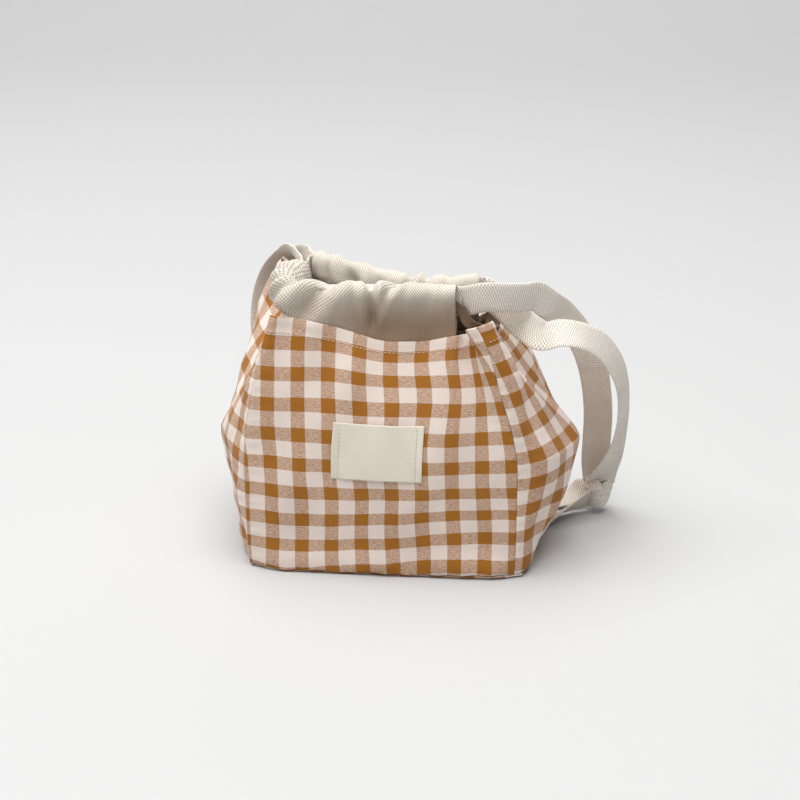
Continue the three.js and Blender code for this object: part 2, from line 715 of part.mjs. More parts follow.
function addRimThreads() {
  for (const name of wallOrder) {
    const inside = acrossStations[name].slice(1, -1);
    const acrosses = [threadEnd, ...inside, 1 - threadEnd];
    const middle = heightBelowRim(name, rimStitchDrop);
    const halfThread = (1 - heightBelowRim(name, threadWidth)) / 2;
    const heights = [middle - halfThread, middle + halfThread];
    const thread = patch(name, acrosses, heights, threadGap, threadGap + threadThickness);
    addPiece("rim_thread_" + name, thread, pinkWhite);
  }
}

addBase();
addWalls();
addLining();
addCasings();
addDrawstrings();
addLabel();
addRimThreads();

export default bag;
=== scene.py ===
import math

import bpy
import numpy as np
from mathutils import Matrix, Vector


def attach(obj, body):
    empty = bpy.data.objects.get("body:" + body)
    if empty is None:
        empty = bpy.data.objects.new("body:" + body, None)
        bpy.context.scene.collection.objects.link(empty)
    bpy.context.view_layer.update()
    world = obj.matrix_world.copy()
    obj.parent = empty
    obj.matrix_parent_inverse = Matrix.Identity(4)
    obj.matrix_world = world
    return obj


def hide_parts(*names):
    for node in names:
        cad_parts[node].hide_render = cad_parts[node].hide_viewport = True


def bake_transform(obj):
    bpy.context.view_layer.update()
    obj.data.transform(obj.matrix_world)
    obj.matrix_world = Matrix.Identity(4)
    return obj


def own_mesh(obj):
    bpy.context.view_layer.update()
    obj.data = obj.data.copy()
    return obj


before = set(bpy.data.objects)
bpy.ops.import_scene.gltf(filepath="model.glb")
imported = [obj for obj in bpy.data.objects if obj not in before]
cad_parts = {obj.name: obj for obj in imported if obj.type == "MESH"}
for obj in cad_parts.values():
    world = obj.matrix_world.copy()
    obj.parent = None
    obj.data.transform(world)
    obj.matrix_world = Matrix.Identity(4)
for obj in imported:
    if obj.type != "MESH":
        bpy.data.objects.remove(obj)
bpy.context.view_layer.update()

mm = 0.001  # sizes below are in millimetres, Blender's own are in metres
scene = bpy.context.scene
print("frame loaded:", len(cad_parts), "nodes")


# Camera at the photograph's angle

photoView = {
    "eye": (0.1105, -1.1274, 0.5794),
    "aim": (0.0048, 0.0, 0.1034),
    "lens": 81.0,
    "sensor": 36.0,
}


def aimAt(thing, place, aim):
    thing.location = place
    sight = Vector(aim) - Vector(place)
    thing.rotation_euler = sight.to_track_quat("-Z", "Y").to_euler()


def addCamera():
    data = bpy.data.cameras.new("photoCamera")
    data.lens = photoView["lens"]
    data.sensor_width = photoView["sensor"]
    camera = bpy.data.objects.new("photoCamera", data)
    scene.collection.objects.link(camera)
    aimAt(camera, photoView["eye"], photoView["aim"])
    scene.camera = camera


addCamera()


# Small tools for meshes

def unit(rows):
    return rows / np.maximum(np.linalg.norm(rows, axis=-1, keepdims=True), 1e-12)


def dot(a, b):
    return np.sum(a * b, axis=-1, keepdims=True)


def smoothRise(low, high, value):
    t = np.clip((value - low) / (high - low), 0, 1)
    return t * t * (3 - 2 * t)


def hump(away):
    return np.exp(-away ** 2)


def waveAngle(distance, length):
    return distance * 2 * np.pi / length


def lengthsAlong(points):
    steps = np.linalg.norm(np.diff(points, axis=0), axis=-1)
    return np.concatenate([[0.0], np.cumsum(steps)])


# Values given along a line, at other lengths along it
def pickAt(lengths, along, values):
    return np.stack([np.interp(lengths, along, column) for column in values.T], axis=-1)


# Places on flat cloth from a row across and a column along
def flatPlaces(across, along):
    return np.stack(np.broadcast_arrays(across, along), axis=-1)


# Sections of a closed thin piece: one face there, the other face back
def thereAndBack(first, second):
    return np.concatenate([first, second[:, ::-1]], axis=1)


# Points about a line: so far across it and so far out of it
def pointsAbout(line, across, outward, acrossBy, outBy):
    aside = line[:, None, :] + across[:, None, :] * acrossBy[..., None]
    return aside + outward[:, None, :] * outBy[..., None]


def makePiece(name, points, faces, places, material, seamsAndShade=None):
    mesh = bpy.data.meshes.new(name)
    mesh.from_pydata((np.asarray(points) * mm).tolist(), [], faces)
    mesh.polygons.foreach_set("use_smooth", [True] * len(mesh.polygons))
    corners = np.zeros(len(mesh.loops), np.int32)
    mesh.loops.foreach_get("vertex_index", corners)
    cloth = mesh.uv_layers.new(name="clothPlace")  # place on the flat cloth, in millimetres
    cloth.data.foreach_set("uv", np.asarray(places, np.float32)[corners].ravel())
    # Second place: on gingham the distance from the side seam and from the foot, which sets its painted
    # seam shade; on natural cloth the share of painted shade
    if seamsAndShade is not None:
        seamAndShade = mesh.uv_layers.new(name="seamPlace")
        seamAndShade.data.foreach_set("uv", np.asarray(seamsAndShade, np.float32)[corners].ravel())
        cloth.active_render = True
    mesh.validate()
    mesh.update()
    piece = bpy.data.objects.new(name, mesh)
    piece.data.materials.append(material)
    scene.collection.objects.link(piece)
    return piece


# A piece that dresses one solid of the frame: it stands for it and, given a body, rides on it
def dress(node, kind, made, material, body=None, seamsAndShade=None):
    piece = makePiece(node + "_" + kind, *made, material, seamsAndShade)
    if body:
        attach(piece, body)
    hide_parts(node)
    return piece


# A thin closed piece swept through closed sections: point i of a section lies across from the
# same point counted from its end, so the two ends can be filled with strips
def sweptCloth(sections, places):
    sections = np.asarray(sections)
    columns, rows = sections.shape[:2]
    faces = []
    for c in range(columns - 1):
        for r in range(rows):
            a = c * rows + r
            b = c * rows + (r + 1) % rows
            faces.append((a, b, b + rows, a + rows))
    for r in range(rows // 2 - 1):
        far = rows - 1 - r
        faces.append((far, far - 1, r + 1, r))
        last = (columns - 1) * rows
        faces.append((last + r, last + r + 1, last + far - 1, last + far))
    return sections.reshape(-1, 3), faces, np.asarray(places).reshape(-1, 2)


# The walls: the same sizes as the solids they dress

bag = {
    "baseWidth": 188, "baseDepth": 112, "edgeRoll": 4, "seamGap": 0.3,
    "clothThickness": 1.2, "liningThickness": 0.8,
    "leftSwellFall": 1.2, "rightSwellFall": 2, "panelSwellRise": 0.8, "gussetSwellRise": 0.7,
    "swellSpread": 0.8, "swellHeight": 0.46, "leanStart": 0.42, "leanPower": 1.7,
    "backLeftBow": 15, "bowRise": 2.2, "rimHeight": 176, "rimLean": 64, "rimDipPower": 4,
    "sharpestMitre": 0.4,
    "clothHeight": 177,  # foot to rim, measured up the cloth
}
wallFoot = bag["edgeRoll"] + bag["seamGap"]
liningDepth = bag["clothThickness"] + bag["seamGap"]

# Rims of the drawn-up mouth: share along the wall, then x, y and z
rims = {
    "front": [
        [0, -75, -50, 180], [0.14, -53, -49, 177], [0.3, -27, -45.5, 170], [0.45, -2, -42.5, 162],
        [0.58, 22, -41.5, 162.5], [0.7, 45, -42, 167], [0.76, 51, -38.5, 167], [0.81, 56, -34.5, 167.5],
        [0.85, 57, -35, 168.5], [0.895, 53.5, -43.5, 171], [0.94, 51, -51, 174], [1, 59, -55, 178],
    ],
    "right": [
        [0, 59, -55, 178], [0.11, 70, -50, 181], [0.26, 69, -35, 172], [0.43, 66, -20, 161],
        [0.62, 72, -4, 160], [0.82, 80, 9, 168], [1, 84, 22, 178],
    ],
    "back": [
        [0, 84, 22, 178], [0.12, 71, 8, 171], [0.225, 57, -3, 166], [0.34, 40, -7, 163],
        [0.5, 10, 2, 162], [0.7, -28, 18, 165], [0.86, -58, 34, 174], [1, -81, 47, 188],
    ],
    "left": [
        [0, -81, 47, 188], [0.15, -79, 33, 180], [0.35, -68, 16, 168], [0.5, -62, 1, 163],
        [0.66, -65, -16, 165], [0.85, -73, -36, 174], [1, -75, -50, 180],
    ],
}
walls = {
    "front": {"start": (-1, -1), "end": (1, -1), "out": (0, -1), "swell": 8},
    "right": {"start": (1, -1), "end": (1, 1), "out": (1, 0), "swell": 33, "fall": bag["rightSwellFall"]},
    "back": {"start": (1, 1), "end": (-1, 1), "out": (0, 1), "swell": 10},
    "left": {"start": (-1, 1), "end": (-1, -1), "out": (-1, 0), "swell": 22, "fall": bag["leftSwellFall"]},
}
wallOrder = ["front", "right", "back", "left"]


def wallLength(name):
    return bag["baseWidth"] if walls[name]["out"][0] == 0 else bag["baseDepth"]


# Smooth curve through rows of share and values
def curveThrough(rows, share):
    rows = np.asarray(rows, float)
    knots = rows[:, 0]
    values = rows[:, 1:]
    share = np.asarray(share, float)
    i = np.searchsorted(knots[1:-1], share, side="left")
    before = np.maximum(i - 1, 0)
    after = np.minimum(i + 2, len(knots) - 1)
    span = (knots[i + 1] - knots[i])[..., None]
    t = (share - knots[i])[..., None] / span
    leave = (values[i + 1] - values[before]) / (knots[i + 1] - knots[before])[..., None] * span
    arrive = (values[after] - values[i]) / (knots[after] - knots[i])[..., None] * span
    blend = t * t * (3 - 2 * t)
    straight = values[i] + (values[i + 1] - values[i]) * blend
    return straight + leave * t * (1 - t) ** 2 - arrive * t * t * (1 - t)


def swellShare(wall, height):
    if wall["out"][0] == 0:
        return np.sin(np.pi * height ** bag["panelSwellRise"])
    peak = bag["swellHeight"]
    rising = np.sin(np.pi / 2 * np.clip(height / peak, 0, 1)) ** bag["gussetSwellRise"]
    falling = np.clip((1 - height) / (1 - peak), 0, 1) ** wall["fall"]
    return np.where(height < peak, rising, falling)


# A point on a wall's outer face: share along it, and share of its height
def wallPoint(name, across, height):
    wall = walls[name]
    across = np.clip(across, 0, 1)
    height = np.clip(height, 0, 1)
    footX = (wall["start"][0] + (wall["end"][0] - wall["start"][0]) * across) * bag["baseWidth"] / 2
    footY = (wall["start"][1] + (wall["end"][1] - wall["start"][1]) * across) * bag["baseDepth"] / 2
    rim = curveThrough(rims[name], across)
    lean = np.clip((height - bag["leanStart"]) / (1 - bag["leanStart"]), 0, 1) ** bag["leanPower"]
    belly = np.clip(np.sin(np.pi * across), 0, 1) ** bag["swellSpread"]
    stand = wall["swell"] * belly * swellShare(wall, height)
    near = across if name == "back" else 1 - across if name == "left" else 0 * across
    bow = bag["backLeftBow"] * near * near * np.sin(np.pi * height ** bag["bowRise"])
    x = footX + (rim[..., 0] - footX) * lean + wall["out"][0] * stand - bow
    y = footY + (rim[..., 1] - footY) * lean + wall["out"][1] * stand
    rise = (bag["rimHeight"] - wallFoot) * height
    z = wallFoot + rise + (rim[..., 2] - bag["rimHeight"]) * height ** bag["rimDipPower"]
    return np.stack([x, y, z], axis=-1)


def wallInward(name, across, height):
    step = 1e-3  # share over which a slope is measured
    along = wallPoint(name, across + step, height) - wallPoint(name, across - step, height)
    rise = wallPoint(name, across, height + step) - wallPoint(name, across, height - step)
    return unit(np.cross(rise, along))


# Direction in which the layers are set in, mitred where two walls meet
def layerDirection(name, across, height):
    own = wallInward(name, across, height)
    place = wallOrder.index(name)
    for edge, turn in ((0, 3), (1, 1)):
        beside = wallOrder[(place + turn) % 4]
        other = wallInward(beside, np.full_like(across, 1.0 - edge), height)
        mitred = (own + other) / np.maximum(1 + dot(own, other), bag["sharpestMitre"])
        atEdge = np.abs(across - edge)[..., None] < 1e-6
        own = np.where(atEdge, mitred, own)
    return own


def heightBelowRim(name, drop):
    lowest = min(row[3] for row in rims[name])
    rise = bag["rimHeight"] - wallFoot - bag["rimDipPower"] * (bag["rimHeight"] - lowest)
    return 1 - drop / math.hypot(rise, bag["rimLean"])


# Soft relief of the cloth: puckers along the seams, a dimpled stitch row, slack folds.
# A fold is its height, its waves along and up the cloth, and its start
relief = {
    "pucker": 0.55, "puckerWave": 8.5, "puckerReach": 8.0, "footPucker": 0.7,
    "stray": (1.4, 0.093, 2.0),  # how the puckers stray: angle, then turn down and along the cloth
    "stitchDrop": 7.0, "stitchDip": 0.4, "stitchSpread": 1.5, "rimPuff": 0.3, "puffSpread": 2.2,
    "dragFold": 1.0, "dragWave": 31.0, "dragStart": 0.9, "dragReach": 34.0,
    "seamFade": 5.0, "footFade": 4.0,  # the relief dies away at the seams
    "slack": {
        "front": [(0.55, 71, -190, 0.4), (0.4, -43, 97, 2.1), (0.22, 27, 61, 4.0)],
        "right": [(1.0, 58, 83, 1.2), (0.7, -34, 67, 3.3), (0.3, 23, -41, 0.2)],
        "back": [(0.9, 83, 150, 2.2), (0.6, -47, 88, 0.7), (0.3, 29, 57, 5.0)],
        "left": [(1.0, 61, -92, 0.3), (0.6, 37, 71, 4.1), (0.3, -21, 47, 2.6)],
    },
}


def clothRelief(name, across, height):
    along = across * wallLength(name)
    fromSeam = np.minimum(along, wallLength(name) - along)
    below = (1 - height) * bag["clothHeight"]
    above = height * bag["clothHeight"]
    stray, strayDown, strayAlong = relief["stray"]
    wander = stray * np.sin(below * strayDown + strayAlong * across)
    sidePucker = np.sin(waveAngle(below, relief["puckerWave"]) + wander)
    footPucker = np.sin(waveAngle(along, relief["puckerWave"]) + wander)
    pucker = sidePucker * np.exp(-fromSeam / relief["puckerReach"])
    pucker += relief["footPucker"] * (footPucker * np.exp(-above / relief["puckerReach"]))
    dip = hump((below - relief["stitchDrop"]) / relief["stitchSpread"])
    puff = hump((below - relief["stitchDrop"] / 2) / relief["puffSpread"])
    drag = np.sin(waveAngle(along, relief["dragWave"]) + relief["dragStart"])
    drag = drag * np.exp(-below / relief["dragReach"])
    push = relief["pucker"] * pucker
    push += relief["rimPuff"] * puff - relief["stitchDip"] * dip + relief["dragFold"] * drag
    for size, waveAlong, waveUp, start in relief["slack"][name]:
        push += size * np.sin(waveAngle(along, waveAlong) + waveAngle(above, waveUp) + start)
    return push * smoothRise(0, relief["seamFade"], fromSeam) * smoothRise(0, relief["footFade"], above)


# The cloth sags over the foot's seam and bulges above it; the foot's corners are drawn in
foot = {
    "tuck": 2.2, "tuckReach": 14.0, "tuckRise": 8.0,
    "sag": 2.9, "sagRight": 1.6, "sagRightOver": (15, 70), "sagRise": 7.0,
    "uneven": [(0.35, 0.16, 0.0), (0.3, 0.37, 0.2)],  # waves of the sag: size, turn along x and along y
    "bulge": (2.4, 5.5), "bulgeLeft": 2.2, "bulgeAt": 6.0, "bulgeRise": 13.0, "bulgeReach": 9.0,
    "bulgeFade": 26.0,
}


def settleFoot(points):
    halfSize = np.array([bag["baseWidth"], bag["baseDepth"]]) / 2
    away = halfSize - np.abs(points[..., :2])
    near = np.clip(1 - away / foot["tuckReach"], 0, 1)
    z = np.clip(points[..., 2:], 0, None)
    share = near[..., :1] * near[..., 1:] * np.exp(-z / foot["tuckRise"])
    x = points[..., :1]
    y = points[..., 1:2]
    uneven = sum(size * np.sin(x * turnX + y * turnY) for size, turnX, turnY in foot["uneven"])
    sag = foot["sag"] - foot["sagRight"] * smoothRise(*foot["sagRightOver"], x) + uneven
    swollen = smoothRise(foot["bulgeReach"], 0, away) * hump((z - foot["bulgeAt"]) / foot["bulgeRise"])
    swollen = swollen * smoothRise(0, foot["bulgeFade"], away[..., ::-1]) * np.array(foot["bulge"])
    swollen[..., :1] += foot["bulgeLeft"] * swollen[..., :1] / foot["bulge"][0] * (x < 0)
    moved = points.copy()
    moved[..., :2] += np.sign(points[..., :2]) * (swollen - foot["tuck"] * share)
    lowered = np.clip(z / wallFoot, 0, 1) * np.exp(-np.clip(z - wallFoot, 0, None) / foot["sagRise"])
    moved[..., 2:] -= sag * lowered
    return moved


def clothPoint(name, across, height, depth):
    across = np.asarray(across, float)
    height = np.asarray(height, float) + 0 * across
    across = across + 0 * height
    push = clothRelief(name, across, height)
    inward = layerDirection(name, across, height)
    return settleFoot(wallPoint(name, across, height) + inward * (np.asarray(depth) - push)[..., None])


# Gingham: its bands, and where they lie on each wall. A wall's cloth is measured from the
# seam at its start; the front is cut narrower towards its top left
gingham = {
    "period": 20.3, "rise": 20.8, "bandShare": 0.46,
    "bandFade": 0.012,  # share of a period over which a band's edge fades
    "rowAtRim": -5.6, "columnAt": {"front": 179.9, "right": 4.5, "back": 95.0, "left": 101.5},
    "topLeftCut": 16.5, "cutStart": 0.45, "cutPower": 1.3,
    "drift": 0.9, "driftRise": 25,  # how far the bands wander, and how far below the rim that takes
    "ochreLow": (0.27, 0.098, 0.009), "ochreHigh": (0.47, 0.185, 0.024),
    "paleLow": (0.76, 0.62, 0.53), "paleHigh": (0.90, 0.80, 0.74),
    "pitch": 0.5, "stray": 0.5, "fleck": 0.62, "threadShare": 0.25,
    "grain": (0.30, 0.70, 0.14, 0.86),  # which yarn shows, unevenly
    "dyeGain": 1.2, "patch": 45.0, "worn": (0.10, 0.94), "rough": (0.12, 0.84),
    "sideSeamShade": (0.1, 0.5, 0.8, 1.0), "footSeamShade": (0.1, 0.6, 0.7, 1.0),  # darker down in a seam: painted seam shade, with some seam grime
    "threadHeight": 0.5, "bump": 0.25,
}

# Waves of the bands' wander: size, turn along, turn down, start
bandWaves = {
    "columns": [(1.0, 0.013, 0.041, 1.0), (0.4, 0.05, 0.107, 0.0)],
    "rows": [(1.0, 0.037, 0.017, 0.0), (0.5, 0.089, 0.03, 2.0)],
}

# Shifts of the bands where the cloth is dragged: how far, then where along the wall and how far
# below its rim. A rise runs from one distance to another, a hump stands about a distance
bandShifts = {
    "front": {
        "columns": [
            (4.0, ("rise", 95, 140), ("rise", 50, 12)), (1.2, None, ("hump", 82, 20)),
            (-1.3, None, ("rise", 100, 125)),
        ],
        "rows": [
            (-1.2, None, None), (3.0, ("rise", 20, 70), None), (3.2, ("hump", 95, 35), ("hump", 38, 26)),
            (9.0, ("rise", 55, 175), ("rise", 105, 150)), (3.5, ("rise", 170, 110), ("rise", 148, 175)),
        ],
    },
    "right": {"columns": [], "rows": [(7.0, None, None), (4.5, None, ("rise", 60, 150))]},
}


def partAt(where, distance):
    if where is None:
        return 1.0
    kind, first, second = where
    return smoothRise(first, second, distance) if kind == "rise" else hump((distance - first) / second)


def ginghamPlace(name, along, height):
    if name == "front":
        rising = np.clip((height - gingham["cutStart"]) / (1 - gingham["cutStart"]), 0, 1)
        cut = gingham["topLeftCut"] * rising ** gingham["cutPower"]
        along = cut + along * (1 - cut / wallLength(name))
    below = (1 - height) * bag["clothHeight"]
    fade = gingham["drift"] * smoothRise(0, gingham["driftRise"], below)
    bands = {"columns": along - gingham["columnAt"][name], "rows": below - gingham["rowAtRim"]}
    for way, rows in bandWaves.items():
        wander = sum(size * np.sin(along * turnAlong + below * turnDown + start)
                     for size, turnAlong, turnDown, start in rows)
        bands[way] = bands[way] + fade * wander
    for way, rows in bandShifts.get(name, {}).items():
        for shift, atAlong, atBelow in rows:
            bands[way] = bands[way] + shift * partAt(atAlong, along) * partAt(atBelow, below)
    return np.stack([bands["columns"], -bands["rows"]], axis=-1)


# Nodes

def put(tree, kind, feeds=(), **settings):
    node = tree.nodes.new(kind)
    for key, value in settings.items():
        setattr(node, key, value)
    for socket, source in feeds:
        if isinstance(source, bpy.types.NodeSocket):
            tree.links.new(source, node.inputs[socket])
        else:
            node.inputs[socket].default_value = source
    return node


def calc(tree, operation, *values):
    return put(tree, "ShaderNodeMath", list(enumerate(values)), operation=operation).outputs[0]


def between(tree, value, low, high, toLow=0.0, toHigh=1.0):
    feeds = [("Value", value), ("From Min", low), ("From Max", high), ("To Min", toLow), ("To Max", toHigh)]
    return put(tree, "ShaderNodeMapRange", feeds, interpolation_type="SMOOTHSTEP").outputs["Result"]


def mixTones(tree, share, first, second, blend="MIX"):
    feeds = [(0, share), (6, first), (7, second)]
    return put(tree, "ShaderNodeMix", feeds, data_type="RGBA", blend_type=blend).outputs[2]


def tone(colour):
    return (*colour, 1.0)


def greyTone(tree, shade):
    feeds = [(channel, shade) for channel in ("Red", "Green", "Blue")]
    return put(tree, "ShaderNodeCombineColor", feeds).outputs[0]


def weighted(tree, first, firstShare, second, secondShare):
    part = calc(tree, "MULTIPLY", first, firstShare)
    return calc(tree, "ADD", part, calc(tree, "MULTIPLY", second, secondShare))


def placeOn(tree, layer):
    return put(tree, "ShaderNodeUVMap", uv_map=layer).outputs["UV"]


def splitPlace(tree, place):
    return put(tree, "ShaderNodeSeparateXYZ", [("Vector", place)]).outputs


def movePlace(tree, operation, *values):
    return put(tree, "ShaderNodeVectorMath", list(enumerate(values)), operation=operation).outputs[0]


# Noise on stretched cloth: stretch along and across, detail and roughness
def speckle(tree, place, make):
    along, across, detail, rough = make
    stretched = movePlace(tree, "MULTIPLY", place, (along, across, 1.0))
    feeds = [("Vector", stretched), ("Scale", 1.0), ("Detail", detail), ("Roughness", rough)]
    return put(tree, "ShaderNodeTexNoise", feeds, noise_dimensions="3D").outputs["Fac"]


def newGroup(name, inputs, outputs):
    group = bpy.data.node_groups.new(name, "ShaderNodeTree")
    for label, kind, value in inputs:
        socket = group.interface.new_socket(label, in_out="INPUT", socket_type=kind)
        if value is not None:
            socket.default_value = value
    for label, kind in outputs:
        group.interface.new_socket(label, in_out="OUTPUT", socket_type=kind)
    start = group.nodes.new("NodeGroupInput")
    end = group.nodes.new("NodeGroupOutput")
    return group, start.outputs, end.inputs


def useGroup(tree, group, **feeds):
    return put(tree, "ShaderNodeGroup", feeds.items(), node_tree=group).outputs


# Plain and twill weave on the flat cloth: yarn height, and which yarn lies on top
weaveMake = {"driftScale": 0.35, "driftDetail": 1.0}


def weaveGroup():
    inputs = [
        ("Place", "NodeSocketVector", None), ("Pitch", "NodeSocketFloat", 1.0),
        ("Twill", "NodeSocketFloat", 0.0), ("Wander", "NodeSocketFloat", 0.15),
    ]
    outputs = [("Height", "NodeSocketFloat"), ("Over", "NodeSocketFloat")]
    group, given, result = newGroup("yarnWeave", inputs, outputs)
    driftFeeds = [
        ("Vector", given["Place"]), ("Scale", weaveMake["driftScale"]), ("Detail", weaveMake["driftDetail"]),
    ]
    drift = put(group, "ShaderNodeTexNoise", driftFeeds)
    centred = movePlace(group, "SUBTRACT", drift.outputs["Color"], (0.5, 0.5, 0.5))
    scaled = put(group, "ShaderNodeVectorMath", [(0, centred), ("Scale", given["Wander"])], operation="SCALE")
    split = splitPlace(group, movePlace(group, "ADD", given["Place"], scaled.outputs[0]))
    angleX, angleY = (
        calc(group, "DIVIDE", calc(group, "MULTIPLY", split[way], math.pi), given["Pitch"]) for way in "XY")
    crossing = calc(group, "MULTIPLY", calc(group, "SINE", angleX), calc(group, "SINE", angleY))
    dome = calc(group, "SQRT", calc(group, "ABSOLUTE", crossing))
    rib = calc(group, "SINE", calc(group, "ADD", angleX, angleY))
    ribShare = calc(group, "MULTIPLY_ADD", rib, 0.5, 0.5)
    over = calc(group, "MULTIPLY_ADD", crossing, 0.5, 0.5)
    ribbed = calc(group, "MULTIPLY", dome, ribShare)
    for label, plain, twilled in (("Height", dome, ribbed), ("Over", over, ribShare)):
        feeds = [("Factor", given["Twill"]), ("A", plain), ("B", twilled)]
        mixed = put(group, "ShaderNodeMix", feeds, data_type="FLOAT")
        group.links.new(mixed.outputs[0], result[label])
    return group


# Uneven yarns: thick and thin streaks both ways, and flecks of plant fibre. A row is the
# stretch along and across the cloth, detail and roughness
yarnMake = {
    "weft": (0.10, 2.2, 2.0, 0.5), "warp": (2.2, 0.10, 2.0, 0.5), "fleck": (0.9, 1.3, 3.0, 0.6),
    "slub": (0.35, 1.6, 2.0, 0.6), "grain": (1.3, 1.5, 2.0, 0.7),
    "slubShare": 0.55, "grainShare": 0.45, "fullFleck": 0.78,
}


def yarnGroup():
    inputs = [("Place", "NodeSocketVector", None), ("Fleck", "NodeSocketFloat", 0.6)]
    outputs = [("Streak", "NodeSocketFloat"), ("Flecks", "NodeSocketFloat"), ("Heather", "NodeSocketFloat")]
    group, given, result = newGroup("unevenYarn", inputs, outputs)
    weft, warp, fleck, slub, grain = (
        speckle(group, given["Place"], yarnMake[kind]) for kind in ("weft", "warp", "fleck", "slub", "grain"))
    group.links.new(calc(group, "MULTIPLY", calc(group, "ADD", weft, warp), 0.5), result["Streak"])
    group.links.new(between(group, fleck, given["Fleck"], yarnMake["fullFleck"]), result["Flecks"])
    heather = weighted(group, slub, yarnMake["slubShare"], grain, yarnMake["grainShare"])
    group.links.new(heather, result["Heather"])
    return group


# Slow change of tone from handling and uneven dye, over patches of the cloth
handledMake = {"detail": 3.0, "low": 0.3, "high": 0.7}


def handledGroup():
    inputs = [("Place", "NodeSocketVector", None), ("Patch", "NodeSocketFloat", 40.0)]
    group, given, result = newGroup("handledTone", inputs, [("Tone", "NodeSocketFloat")])
    scale = calc(group, "DIVIDE", 1.0, given["Patch"])
    feeds = [("Vector", given["Place"]), ("Scale", scale), ("Detail", handledMake["detail"])]
    noise = put(group, "ShaderNodeTexNoise", feeds)
    spread = between(group, noise.outputs["Fac"], handledMake["low"], handledMake["high"])
    group.links.new(spread, result["Tone"])
    return group


weave = weaveGroup()
yarn = yarnGroup()
handled = handledGroup()


clothMake = {"specular": 0.25, "sheenRoughness": 0.45, "bumpStrength": 0.5}  # the same on every cloth


def newMaterial(name, roughness, sheen):
    material = bpy.data.materials.new(name)
    material.use_nodes = True
    tree = material.node_tree
    shader = tree.nodes["Principled BSDF"]
    shader.inputs["Roughness"].default_value = roughness
    shader.inputs["Specular IOR Level"].default_value = clothMake["specular"]
    shader.inputs["Sheen Weight"].default_value = sheen
    shader.inputs["Sheen Roughness"].default_value = clothMake["sheenRoughness"]
    return material, tree, shader, placeOn(tree, "clothPlace")


def addBump(tree, shader, height, depth, strength=clothMake["bumpStrength"]):
    feeds = [("Height", height), ("Strength", strength), ("Distance", depth * mm)]
    bump = put(tree, "ShaderNodeBump", feeds)
    tree.links.new(bump.outputs["Normal"], shader.inputs["Normal"])


def addRoughness(tree, shader, heather, make):
    tree.links.new(calc(tree, "MULTIPLY_ADD", heather, *make["rough"]), shader.inputs["Roughness"])


# Ochre and pale gingham, yarn-dyed: where bands cross the ochre is full, elsewhere it is heathered
def ginghamMaterial():
    material, tree, shader, place = newMaterial("ginghamCloth", roughness=0.92, sheen=0.12)
    half = gingham["bandShare"] / 2
    fade = gingham["bandFade"]

    def bandMask(value, period):
        turn = calc(tree, "FRACT", calc(tree, "ADD", calc(tree, "DIVIDE", value, period), 0.5))
        away = calc(tree, "ABSOLUTE", calc(tree, "SUBTRACT", turn, 0.5))
        return between(tree, away, half + fade, half - fade)

    split = splitPlace(tree, place)
    columns = bandMask(split["X"], gingham["period"])
    rows = bandMask(split["Y"], gingham["rise"])
    threads = useGroup(tree, weave, Place=place, Pitch=gingham["pitch"], Twill=0.0, Wander=gingham["stray"])
    yarns = useGroup(tree, yarn, Place=place, Fleck=gingham["fleck"])
    grain = between(tree, yarns["Heather"], *gingham["grain"])
    over = weighted(tree, threads["Over"], gingham["threadShare"], grain, 1 - gingham["threadShare"])
    under = calc(tree, "SUBTRACT", 1.0, over)
    shown = weighted(tree, columns, over, rows, under)
    dyed = calc(tree, "MINIMUM", calc(tree, "MULTIPLY", shown, gingham["dyeGain"]), 1.0)
    pale = mixTones(tree, yarns["Streak"], tone(gingham["paleLow"]), tone(gingham["paleHigh"]))
    ochre = mixTones(tree, yarns["Streak"], tone(gingham["ochreLow"]), tone(gingham["ochreHigh"]))
    cloth = mixTones(tree, dyed, pale, ochre)
    worn = useGroup(tree, handled, Place=place, Patch=gingham["patch"])
    # Painted shade, with some grime, darkens the cloth down in the side and foot seams
    seamAndShade = splitPlace(tree, placeOn(tree, "seamPlace"))
    sideSeamShade = between(tree, calc(tree, "ABSOLUTE", seamAndShade["X"]), *gingham["sideSeamShade"])
    footSeamShade = between(tree, calc(tree, "ABSOLUTE", seamAndShade["Y"]), *gingham["footSeamShade"])
    seamShade = calc(tree, "MULTIPLY", sideSeamShade, footSeamShade)
    shade = calc(tree, "MULTIPLY", calc(tree, "MULTIPLY_ADD", worn["Tone"], *gingham["worn"]), seamShade)
    shaded = mixTones(tree, 1.0, cloth, greyTone(tree, shade), "MULTIPLY")
    tree.links.new(shaded, shader.inputs["Base Color"])
    addRoughness(tree, shader, yarns["Heather"], gingham)
    raised = calc(tree, "MULTIPLY", threads["Height"], gingham["threadHeight"])
    addBump(tree, shader, calc(tree, "ADD", raised, yarns["Heather"]), gingham["bump"])
    return material


# Natural canvas, lining and webbing: undyed yarn with plant flecks. Each cloth's darker, warmer tint is
# painted shade, laid where it lies in shadow; a ribs value below 1 sets the yarns wider apart across than
# along
naturals = {
    "casingCanvas": {
        "light": (0.81, 0.755, 0.675), "dark": (0.26, 0.19, 0.13), "paintedShade": (0.52, 0.40, 0.31),
        "pitch": 1.02, "twill": 0.15, "ribs": 1.0, "fleck": 0.66, "bump": 0.35,
    },
    "liningCotton": {
        "light": (0.70, 0.63, 0.53), "dark": (0.44, 0.37, 0.29), "paintedShade": (1, 1, 1),
        "pitch": 0.55, "twill": 0.0, "ribs": 1.0, "fleck": 0.68, "bump": 0.25,
    },
    "webbingTwill": {
        "light": (0.97, 0.91, 0.83), "dark": (0.36, 0.29, 0.22), "paintedShade": (0.34, 0.25, 0.18),
        "pitch": 0.8, "twill": 0.0, "ribs": 0.45, "fleck": 0.62, "bump": 0.3,
    },
}
